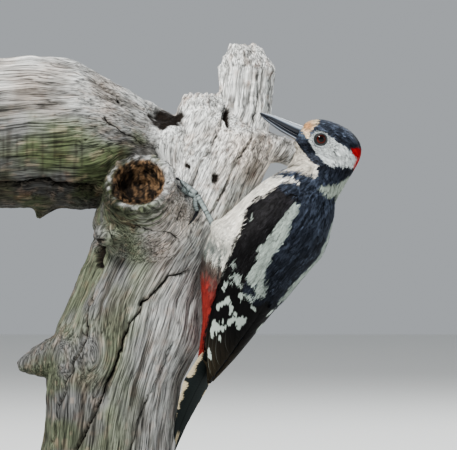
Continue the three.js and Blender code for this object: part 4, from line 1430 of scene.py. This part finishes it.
BILL_SLATE = linear(50, 55, 64)
# Painted highlight colour of the bill's pale bands.
BILL_HIGHLIGHT = linear(186, 196, 208)
BILL_BLACK = linear(20, 21, 25)
BILL_BUFF = linear(176, 158, 134)
# Painted highlight bands of the upper and the lower half: height on the bill, width, strength.
BILL_HIGHLIGHT_BANDS = ((0.5, 0.26, 1.0), (0.98, 0.1, 0.25)), ((0.22, 0.14, 0.75), (0.75, 0.12, 0.3))


def horn_colours(ridge, t, upper):
    """Slate with painted highlight bands along it, a black tip and a dark line of painted shade
    near the gape, by height on the bill and length.
    """
    # worn: patchy strength of the painted highlight bands.
    worn = 1 + 0.25 * noise(np.stack(np.broadcast_arrays(ridge * 4, t * 9, 0 * t), -1).reshape(
        -1, 3)).reshape(np.broadcast(ridge, t).shape)
    bands = BILL_HIGHLIGHT_BANDS[0 if upper else 1]
    light = sum(amount * hump(ridge, at, wide) for at, wide, amount in bands)
    light = np.clip(light * (0.25 + 0.75 * smoothstep(1, 0.35, t)) * worn, 0, 1)
    colour = blend(BILL_SLATE, BILL_HIGHLIGHT, light)
    base = smoothstep(0.4, 0.1, t) * smoothstep(0.45, 0.9, ridge) * (not upper)
    colour = blend(colour, BILL_BUFF, base)
    # The black tip, and painted shade in a dark line near the gape.
    dark = np.maximum(smoothstep(0.7, 1, t), hump(ridge, -0.25, 0.2) * 0.85)
    return blend(colour, BILL_BLACK, dark)


def make_mandible(name, sections, upper, node):
    """Half of the bill, with a ridge, a groove beside it and a flat cutting face."""
    rows = smooth_line(sections, BILL_RINGS)
    low = np.stack([rows[:, 0], 0 * rows[:, 0], rows[:, 1]], 1)
    high = np.stack([rows[:, 2], 0 * rows[:, 0], rows[:, 3]], 1)
    angle = round_angles(BILL_SIDES)
    ridge = np.cos(angle) if upper else -np.cos(angle)
    narrow = 1 - 0.42 * np.maximum(ridge, 0) ** 1.4
    step = 0.08 * hump(ridge, 0.32, 0.13) - 0.07 * hump(ridge, 0.02, 0.14)
    flat = np.where(ridge < 0, np.abs(ridge) ** 0.8 * np.sign(ridge), ridge)
    t = np.linspace(0, 1, BILL_RINGS)[:, None]
    wide = np.sin(angle) * narrow * (1 + step * (1 - t) * 1.4)
    tall = flat if upper else -flat
    middle, half = (low + high) / 2, (high - low) / 2
    verts = middle[:, None] + half[:, None] * tall[None, :, None]
    verts[..., 1] += rows[:, 4, None] * wide
    colour = horn_colours(ridge[None], t, upper).reshape(-1, 3)
    faces = grid_faces(BILL_RINGS, BILL_SIDES, True)
    painted_piece(name, [(verts.reshape(-1, 3), faces, colour)], HORN, node)


# ---- Eyes ----------------------------------------------------------------------------

PUPIL, IRIS = 1.9, 2.7  # radii, mm
EYE_RINGS, EYE_SIDES = 40, 48
IRIS_RED = linear(104, 32, 20)
IRIS_DARK = linear(20, 9, 8)
LIMBUS = linear(10, 9, 9)


def make_eye(side):
    """A whole eyeball, its pupil, rayed iris and dark rim painted on, with painted shade over the
    top of the iris.
    """
    sign = -1 if side == "left" else 1
    centre = EYE * np.array([1, sign, 1])
    tilt = np.linspace(0, math.pi, EYE_RINGS)[:, None]
    angle = round_angles(EYE_SIDES)[None]
    out = np.stack([np.sin(tilt) * np.cos(angle), sign * np.cos(tilt) * np.ones_like(angle),
                    np.sin(tilt) * np.sin(angle)], -1)
    verts = (centre + out * EYE_RADIUS).reshape(-1, 3)
    radius = (np.sin(tilt) * EYE_RADIUS * np.ones_like(angle)).ravel()
    spokes = np.tile(0.75 + 0.25 * np.sin(angle[0] * 19), EYE_RINGS)
    # Painted shade of the lid: the iris darker towards its top.
    shaded = (0.4 + 0.6 * smoothstep(1.8, -1.4, verts[:, 2] - EYE[2]))[:, None]
    colour = IRIS_RED * spokes[:, None] * shaded
    colour = blend(colour, IRIS_DARK, smoothstep(PUPIL + 0.5, IRIS, radius))
    pupil = smoothstep(PUPIL + 0.12, PUPIL - 0.12, radius)
    outer = smoothstep(IRIS - 0.1, IRIS + 0.15, radius)
    colour = blend(colour, LIMBUS, np.maximum(pupil, outer))
    faces = grid_faces(EYE_RINGS, EYE_SIDES, True)
    painted_piece(f"eyeball_{side}", [(verts, faces, colour)], EYE_SURFACE, f"eye_{side}")


# Rings of the lid: half length, half height, thickness, lightness.
LID_RINGS = ((2.95, 2.8, 0.2, 0.05), (3.35, 3.15, 0.24, 0.08), (3.78, 3.5, 0.24, 0.05),
             (4.2, 3.85, 0.22, 0.25), (4.6, 4.2, 0.26, 1.25), (5.0, 4.55, 0.18, 0.2),
             (5.3, 4.8, 0.2, 0.8), (5.62, 5.05, 0.22, 0.05))
LID_SLANT = math.radians(-14)
LID_INNER, LID_OUTER = 2.95, 5.9  # from where the lids leave the eyeball to the face, mm
LID_DRIFT = np.array([-0.7, -0.5])  # how far the outermost ring's middle lies from the eye's
LID_STEPS, LID_SIDES = 96, 10


def make_lids(side):
    """Beaded rings of bare grey skin round an eye, from the eyeball out to the face."""
    sign = -1 if side == "left" else 1
    turn = round_angles(LID_STEPS)
    slanted = turn + LID_SLANT
    face, _ = on_tree(skin_tree, np.stack([
        EYE[0] + LID_OUTER * np.cos(slanted), np.full(LID_STEPS, sign * (EYE[1] + 3)),
        EYE[2] + LID_OUTER * np.sin(slanted)], 1))
    brink = EYE[1] + math.sqrt(EYE_RADIUS**2 - LID_INNER**2)
    parts = []
    for long, high, thick, light in LID_RINGS:
        part = (long - LID_INNER) / (LID_OUTER - LID_INNER)
        wobble = 1 + 0.04 * part * noise(np.stack([
            2.5 * np.cos(turn), 2.5 * np.sin(turn), np.full(LID_STEPS, 2.0 * long)], 1))
        x, z = long * wobble * np.cos(turn), high * wobble * np.sin(turn)
        height = mix(sign * brink, face[:, 1], part)
        line = np.stack([
            EYE[0] + LID_DRIFT[0] * part + x * math.cos(LID_SLANT) - z * math.sin(LID_SLANT),
            height,
            EYE[2] + LID_DRIFT[1] * part + x * math.sin(LID_SLANT) + z * math.cos(LID_SLANT)], 1)
        out = unit(np.stack([np.cos(slanted) * 0.35, 0 * turn + sign, np.sin(slanted) * 0.35], 1))
        beads = thick * (1 + 0.2 * np.sin(turn * round(long * 9)) + 0.3 * noise(line * 1.3))
        aim = unit(np.roll(line, -1, axis=0) - np.roll(line, 1, axis=0))
        across = unit(np.cross(aim, out))
        verts = tube_verts(line, across, out, np.repeat(beads[:, None], LID_SIDES, axis=1))
        behind = smoothstep(0.0, 0.7, np.cos(turn)) * smoothstep(4.3, 5.6, long)
        behind = np.repeat(behind, LID_SIDES)
        tone = (light + (1.3 - light) * behind) * (1 + 0.5 * noise(verts * 1.4))
        faces = grid_faces(LID_STEPS, LID_SIDES, True, True)
        parts.append((verts, faces, WAX_GREY * tone[:, None]))
    painted_piece(f"lids_{side}", parts, LID_SKIN)


# ---- Wings ---------------------------------------------------------------------------

# Flight feathers of the left wing from the outermost in: tips, x and z in the side view.
FLIGHT_TIPS = [(3.4, 98.3), (4.6, 99.4), (6.4, 101.3), (8.6, 104.2), (10.9, 107.6),
               (13.2, 110.8), (16, 114.6), (18.8, 118.6), (21.8, 122.8), (25, 127.2),
               (28.2, 131.6), (31.8, 136.6), (35.6, 142.4), (40.2, 149.6)]
FLIGHT_ROOTS = (20, 179), (47, 171)  # where the outermost and the innermost begin
FLIGHT_BOW = 8.5, 1.0  # how far they bend towards the leading edge
FLIGHT_HALF = 3.3, 5.2  # half their widths
COVERT_TIPS = [(12.2, 158.5), (15.6, 156.2), (19.2, 154), (22.8, 152.2), (26.4, 150.8),
               (30, 150), (33.6, 150.6), (37, 153), (40.4, 156.5)]
COVERT_LENGTH, COVERT_HALF, COVERT_BOW = 24.0, 3.1, 0.8
MEDIAN_TIPS = [(15.6, 167.2), (19, 165), (22.6, 163), (26.2, 161.4), (29.8, 160.2),
               (33.4, 160.4), (37, 162.4)]
MEDIAN_LENGTH, MEDIAN_HALF = 15.0, 2.8
WING_AXIS = np.array([-0.438, -0.899])  # from the shoulder to the wing's tip, x and z
FLIGHT_LIFT, COVERT_LIFT, MEDIAN_LIFT = -0.4, -0.1, 0.15  # mm above the outline
SHINGLE = 0.35  # mm that a feather's outer edge stands above its middle
VANE_ROW, VANE_COLUMN = 0.62, 0.3  # mm along a long vane and across half of it
BLUNT_FROM = 0.86  # the part of its length from which it narrows to the tip
# White marks on the closed wing: x, z and the two sizes.
SPOTS = ((21.4, 172.6, 2.8, 4.6), (22.6, 165.6, 7.2, 5), (25, 161.4, 2.6, 6.2),
         (19.4, 163.2, 3, 3), (15.2, 160, 2.8, 6), (28.4, 154.2, 8, 5),
         (24.2, 152.4, 2.4, 4.6), (32.2, 152.6, 2.2, 3.2), (14.8, 149.6, 6.4, 4.8),
         (18.8, 145.6, 3, 6.8), (11.4, 147.4, 2.4, 4.4), (32.4, 146, 4.2, 4.6),
         (23.8, 138.2, 6.8, 7), (18.8, 137.8, 3.8, 4.4), (20.6, 141.4, 1.8, 2.6),
         (9.6, 136.6, 3.4, 6), (8, 132.8, 2.4, 6), (11, 132.6, 1.8, 4.6),
         (13.4, 137.4, 1.2, 3.2), (13.2, 132.8, 2.4, 3.4), (15.3, 133.6, 1, 3),
         (11.7, 127, 1.6, 4.4), (5.8, 120.4, 2.2, 7.2), (7.2, 116.6, 1.2, 4.4),
         (43.2, 142.2, 3.2, 2.6), (34.8, 132.8, 4, 2), (32, 201.6, 1.4, 2.6))


def spotted(x, z, slip=0.0):
    """Where the white marks of the wing are, with edges frayed along the barbs."""
    along_wing = x * WING_AXIS[0] + z * WING_AXIS[1]
    over_wing = -x * WING_AXIS[1] + z * WING_AXIS[0]
    frayed = noise(np.stack([over_wing * 1.3, along_wing * 0.22, 0 * x], 1))
    frayed = frayed + 0.7 * noise(np.stack([over_wing * 0.55, along_wing * 0.5, 0 * x + 9], 1))
    found = np.zeros(len(x), bool)
    for sx, sz, wide, high in SPOTS:
        away = np.hypot((x - sx - slip * WING_AXIS[0]) / wide,
                        (z - sz - slip * WING_AXIS[1]) / high) * 2
        found |= away + 0.32 * frayed < 0.97
    return found


def on_side(x, z):
    """Places on the bird's left side, from where they are in the side view."""
    flat = np.stack([x, np.full_like(x, -20.0), z], 1)
    body = on_body(flat)
    offset = np.sum((flat[:, [0, 2]] - body["centre"]) * body["across"], axis=1)
    side = np.clip(offset / body["reach"], -0.985, 0.985)
    body["far"] = np.ones_like(x)
    return place(body, np.degrees(np.arcsin(side)))


def wing_feather(root, tip, bow, half, side, base):
    """A vane draped over the wing: verts, faces, colours, and places across and along it."""
    root, tip = np.array(root, float), np.array(tip, float)
    chord = tip - root
    length = np.hypot(*chord)
    outer = np.array([chord[1], -chord[0]]) / length
    rows = int(length / VANE_ROW) + 3
    columns = int(half / VANE_COLUMN) + 3
    t = np.linspace(0, 1, rows)
    flat = root + chord * t[:, None] + outer * (4 * bow * t * (1 - t))[:, None]
    middle = on_side(flat[:, 0], flat[:, 1])
    if side == "right":
        middle = mirrored(middle)
    middle, out = on_tree(outline_tree, middle)
    aim = unit(np.gradient(middle, axis=0))
    across = unit(np.cross(out, aim)) * (1 if side == "left" else -1)
    u = np.linspace(-1, 1, columns)
    blunt = np.sqrt(np.clip(1 - (np.clip(t - BLUNT_FROM, 0, 1) / (1 - BLUNT_FROM)) ** 2, 0, 1))
    width = half * (0.7 + 0.3 * smoothstep(0, 0.25, t)) * np.maximum(blunt, 0.03)
    grid = middle[:, None] + across[:, None] * (width[:, None] * u)[..., None]
    sweepback = aim[:, None] * (-0.35 * width[:, None] * u**2)[..., None]
    grid = (grid + sweepback).reshape(-1, 3)
    spots, outs = on_tree(outline_tree, grid)
    tt, uu = np.repeat(t, columns), np.tile(u, rows)
    sink = 0.9 * (1 - smoothstep(0, 0.35, tt))
    base = base + 0.5 * smoothstep(11.5, 13, on_body(spots)["number"])
    lift = base - sink - SHINGLE * uu + 0.1 * (1 - np.abs(uu + 0.3)) + 0.25 * smoothstep(
        0.6, 1, tt) * (1 - uu**2)
    verts = spots + outs * lift[:, None]
    colour = feather_colour(spots, tt, uu, length)
    return verts, grid_faces(rows, columns), colour, np.stack([uu, tt], 1)


def feather_colour(places, t, u, length):
    """Black barbs and shaft, browner with paler edges towards the wing's tip, spotted white."""
    x, z = left_view(places)[:2]
    outer_part = smoothstep(11.6, 14, on_body(places)["number"])
    colour = blend(WING_BLACK, WING_BROWN, 0.7 * outer_part)
    barbs = np.sin((t * length * 1.1 + np.abs(u) * 2.2) * 5.5)
    colour = colour * (1 + 0.1 * barbs + 0.1 * rng.normal())[:, None]
    shaft = hump(u, -0.25, 0.07)[:, None]
    colour = colour * (1 - 0.6 * shaft)
    edge = smoothstep(0.93, 0.99, -u) * rng.uniform(0, 0.5)
    colour = blend(colour, PATCH_WHITE, edge * outer_part)
    marks = spotted(x, z, rng.uniform(-1.4, 1.4))
    colour[marks] = PATCH_WHITE * (1 + 0.05 * barbs[marks])[:, None]
    return colour


def make_wing(side):
    """The flight feathers from the outermost in, and over them two rows of coverts."""
    parts = []
    for i, tip in enumerate(FLIGHT_TIPS):
        part = i / (len(FLIGHT_TIPS) - 1)
        root = mix(*np.array(FLIGHT_ROOTS), part)
        bow = FLIGHT_BOW[0] * (1 - part) ** 1.3 + FLIGHT_BOW[1] * part
        half = mix(*FLIGHT_HALF, part)
        parts.append(wing_feather(root, tip, bow, half, side, FLIGHT_LIFT))
    for tips, length, half, base in ((COVERT_TIPS, COVERT_LENGTH, COVERT_HALF, COVERT_LIFT),
                                     (MEDIAN_TIPS, MEDIAN_LENGTH, MEDIAN_HALF, MEDIAN_LIFT)):
        for tip in tips:
            root = np.array(tip) - WING_AXIS * length
            parts.append(wing_feather(root, tip, COVERT_BOW, half, side, base))
    painted_piece(f"flight_feathers_{side}", parts, FEATHER, uv=strips(parts))


def strips(parts):
    """The bake map of long feathers: a strip of its own for each, flat and full length."""
    wide = 1 / len(parts)
    return np.concatenate([
        np.stack([(i + 0.5 + 0.44 * across) * wide, 0.02 + 0.96 * along_it], 1)
        for i, (across, along_it) in enumerate(part[3].T for part in parts)])


# ---- Tail ----------------------------------------------------------------------------

# From the tail's root to its end: x, y, height and half width.
TAIL_LINE = np.array([
    [9, 7.5, 121, 8.0], [4.5, 9.5, 110, 10], [-3, 12.5, 95, 10.6], [-7.8, 15.2, 85, 9.2],
    [-12, 18, 75, 7], [-15.2, 20.4, 65, 4.2], [-17, 22.2, 57, 1.6]])
TAIL_LEFT = unit(np.array([-0.652, -0.695, 0.304]))  # across the tail
TAIL_TIPS = (1.0, 0.94, 0.84, 0.72, 0.58, 0.42)  # each pair's share of the tail's length
TAIL_HALF, TAIL_ROWS, TAIL_COLUMNS = 3.4, 110, 13  # a feather's half width in mm, its grid
TAIL_BLACK = linear(38, 44, 44)
TAIL_CREAM = linear(214, 200, 168)


def make_tail():
    """Six pairs of stiff, pointed feathers, the middle pair longest and on top."""
    steps = np.linspace(0, 1, len(TAIL_LINE))
    dorsal = unit(np.cross(TAIL_LEFT, TAIL_LINE[-1, :3] - TAIL_LINE[0, :3]))
    parts = []
    for pair in range(len(TAIL_TIPS) - 1, -1, -1):
        for sign in (-1, 1):
            end = TAIL_TIPS[pair]
            rows, columns = int(TAIL_ROWS * end), TAIL_COLUMNS
            t = np.linspace(0, 1, rows)
            at = np.stack([np.interp(t * end, steps, TAIL_LINE[:, c]) for c in range(4)], 1)
            off = sign * at[:, 3] * (0.13 + 0.13 * pair) * (0.6 + 0.4 * t)
            half = TAIL_HALF * np.minimum(1, 0.5 + 2 * t) * np.clip((1 - t) / 0.3, 0.02, 1) ** 0.75
            u = np.linspace(-1, 1, columns)
            lateral = off[:, None] + half[:, None] * u
            roof = 0.3 * (1 - np.abs(u))[None] * np.ones((rows, 1)) - 0.018 * lateral**2
            lift = roof + 0.3 * (len(TAIL_TIPS) - 1 - pair) - 0.4 + 0.12 * sign
            verts = (at[:, None, :3] + TAIL_LEFT * lateral[..., None]
                     + dorsal * lift[..., None]).reshape(-1, 3)
            tt, uu = np.repeat(t, columns), np.tile(u, rows)
            out_part = (lateral / at[:, 3:] * np.where(lateral > 0, 1, -0.8)).ravel()
            colour = tail_colour(pair, tt, uu, end, out_part)
            parts.append((verts, grid_faces(rows, columns), colour, np.stack([uu, tt], 1)))
    painted_piece("tail_feathers", parts, FEATHER, "tail", uv=strips(parts))


def tail_colour(pair, t, u, end, out_part):
    """Black, with cream outer feathers barred with black and worn pale tips in the middle."""
    colour = np.tile(TAIL_BLACK, (len(t), 1))
    barbs = np.sin(t * end * 300 + np.abs(u) * 6)
    far = t * end
    bars = np.sin(far * 23 + 1.2) < 0.93
    from_edge = out_part + 0.04 * barbs + 0.05 * np.sin(far * 61)
    edge = smoothstep(0.7, 0.76, from_edge) * smoothstep(0.64, 0.58, far) * bars
    worn = 0.7 * (pair < 2) * smoothstep(0.72, 0.78, far) * smoothstep(0.5, 0.3, np.abs(u))
    colour = blend(colour, TAIL_CREAM, np.maximum(edge, worn))
    shaft = hump(u, 0, 0.08)[:, None]
    colour = colour * (1 - 0.5 * shaft)
    return colour * (1 + 0.12 * barbs)[:, None]


# ---- Stand ---------------------------------------------------------------------------


def grained_material(name, dark, light, roughness, stretch, scale, metallic=0.0):
    """Fine lines that run one way: stained wood or brushed steel."""
    made, tree, shader = material(name, roughness, Metallic=metallic)
    place_on = added(tree, "TexCoord").outputs["Object"]
    mapping = added(tree, "Mapping", Scale=stretch, Vector=place_on)
    texture = added(tree, "TexNoise", Scale=scale, Detail=5, Vector=mapping.outputs["Vector"])
    lines = ramp(tree, texture.outputs["Fac"], (0.35, dark), (0.68, light))
    feed(tree, shader, Base_Color=lines)
    return made


def dress_stand():
    wood = grained_material("stand_wood", linear(38, 26, 19), linear(74, 50, 34), 0.38,
                            (6, 70, 40), 3.0)
    steel = grained_material("stand_steel", linear(150, 150, 150), linear(196, 196, 194), 0.32,
                             (400, 400, 12), 2.0, metallic=1.0)
    for node, surface in (("stand_base", wood), ("stand_rod_left", steel),
                          ("stand_rod_right", steel)):
        cover(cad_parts[node], surface)


# ---- Floor, light and camera -------------------------------------------------------

LENS, SENSOR = 400.0, 36.0
AIM = metres([17.3, 0, 196.35])
CAMERA_AWAY = 3.08  # metres
# Each light: its place in metres, how wide it is, watts and colour.
LIGHTS = {
    "key": ((-1.4, -1.8, 2.5), 0.8, 152, (1.0, 0.985, 0.96)),
    "fill": ((2.4, -1.8, 1.0), 1.8, 11, (0.92, 0.96, 1.0)),
    "rim": ((0.9, 1.8, 1.8), 1.2, 34, (0.95, 0.98, 1.0)),
}
SKY, SKY_STRENGTH = (0.80, 0.84, 0.88, 1), 0.44
FLOOR_HALF, FLOOR_COLOUR = 6, (0.78, 0.78, 0.76, 1)  # metres


def look_at(made, target):
    aim = Vector(target) - made.location
    made.rotation_mode = "QUATERNION"
    made.rotation_quaternion = aim.to_track_quat("-Z", "Y")


def add_camera():
    data = bpy.data.cameras.new("camera")
    data.lens, data.sensor_width = LENS, SENSOR
    data.clip_start, data.clip_end = 0.1, 50
    made = new_object("camera", data)
    made.location = Vector(AIM) + Vector((0, -CAMERA_AWAY, 0))
    look_at(made, AIM)
    bpy.context.scene.camera = made


def add_light(name, position, size, power, colour):
    data = bpy.data.lights.new(name, "AREA")
    data.shape, data.size, data.energy, data.color = "DISK", size, power, colour
    made = new_object(name, data)
    made.location = position
    look_at(made, AIM)


def add_floor():
    corners = np.array([[-1, -1, 0], [1, -1, 0], [1, 1, 0], [-1, 1, 0]], float) * FLOOR_HALF
    made = mesh_object("floor", corners, np.array([[0, 1, 2, 3]]))
    cover(made, material("floor", 0.9, Base_Color=FLOOR_COLOUR)[0])


def add_sky():
    world = bpy.data.worlds.new("studio")
    world.use_nodes = True
    feed(world.node_tree, world.node_tree.nodes["Background"], Color=SKY, Strength=SKY_STRENGTH)
    bpy.context.scene.world = world


# ---- Assembly ----------------------------------------------------------------------

FEATHER = feather_material()
FOOT = painted_material("foot_skin", 0.55, 1400, 0.0003)
HORN = painted_material("horn", 0.24, 700, 0.00006)
EYE_SURFACE = painted_material("eye", 0.03, IOR=1.32)
LID_SKIN = painted_material("lid_skin", 0.55, 1500, 0.0002)

skin, outline_tree, skin_tree = make_skin()
paint(skin, skin_colours(millimetres(vertices(skin))))
unwrap(skin)
finish_piece(skin, FEATHER, *FLESH)
dress_in_feathers()
make_mandible("upper_mandible", UPPER_BILL, True, "bill_upper")
make_mandible("lower_mandible", LOWER_BILL, False, "bill_lower")
wood_tree = make_perch()
for bird_side in SIDES:
    make_eye(bird_side)
    make_lids(bird_side)
    make_wing(bird_side)
    make_foot(bird_side, wood_tree)
make_tail()
dress_stand()

add_floor()
add_camera()
for light, settings in LIGHTS.items():
    add_light(light, *settings)
add_sky()
bpy.context.scene.view_settings.look = "AgX - Medium High Contrast"
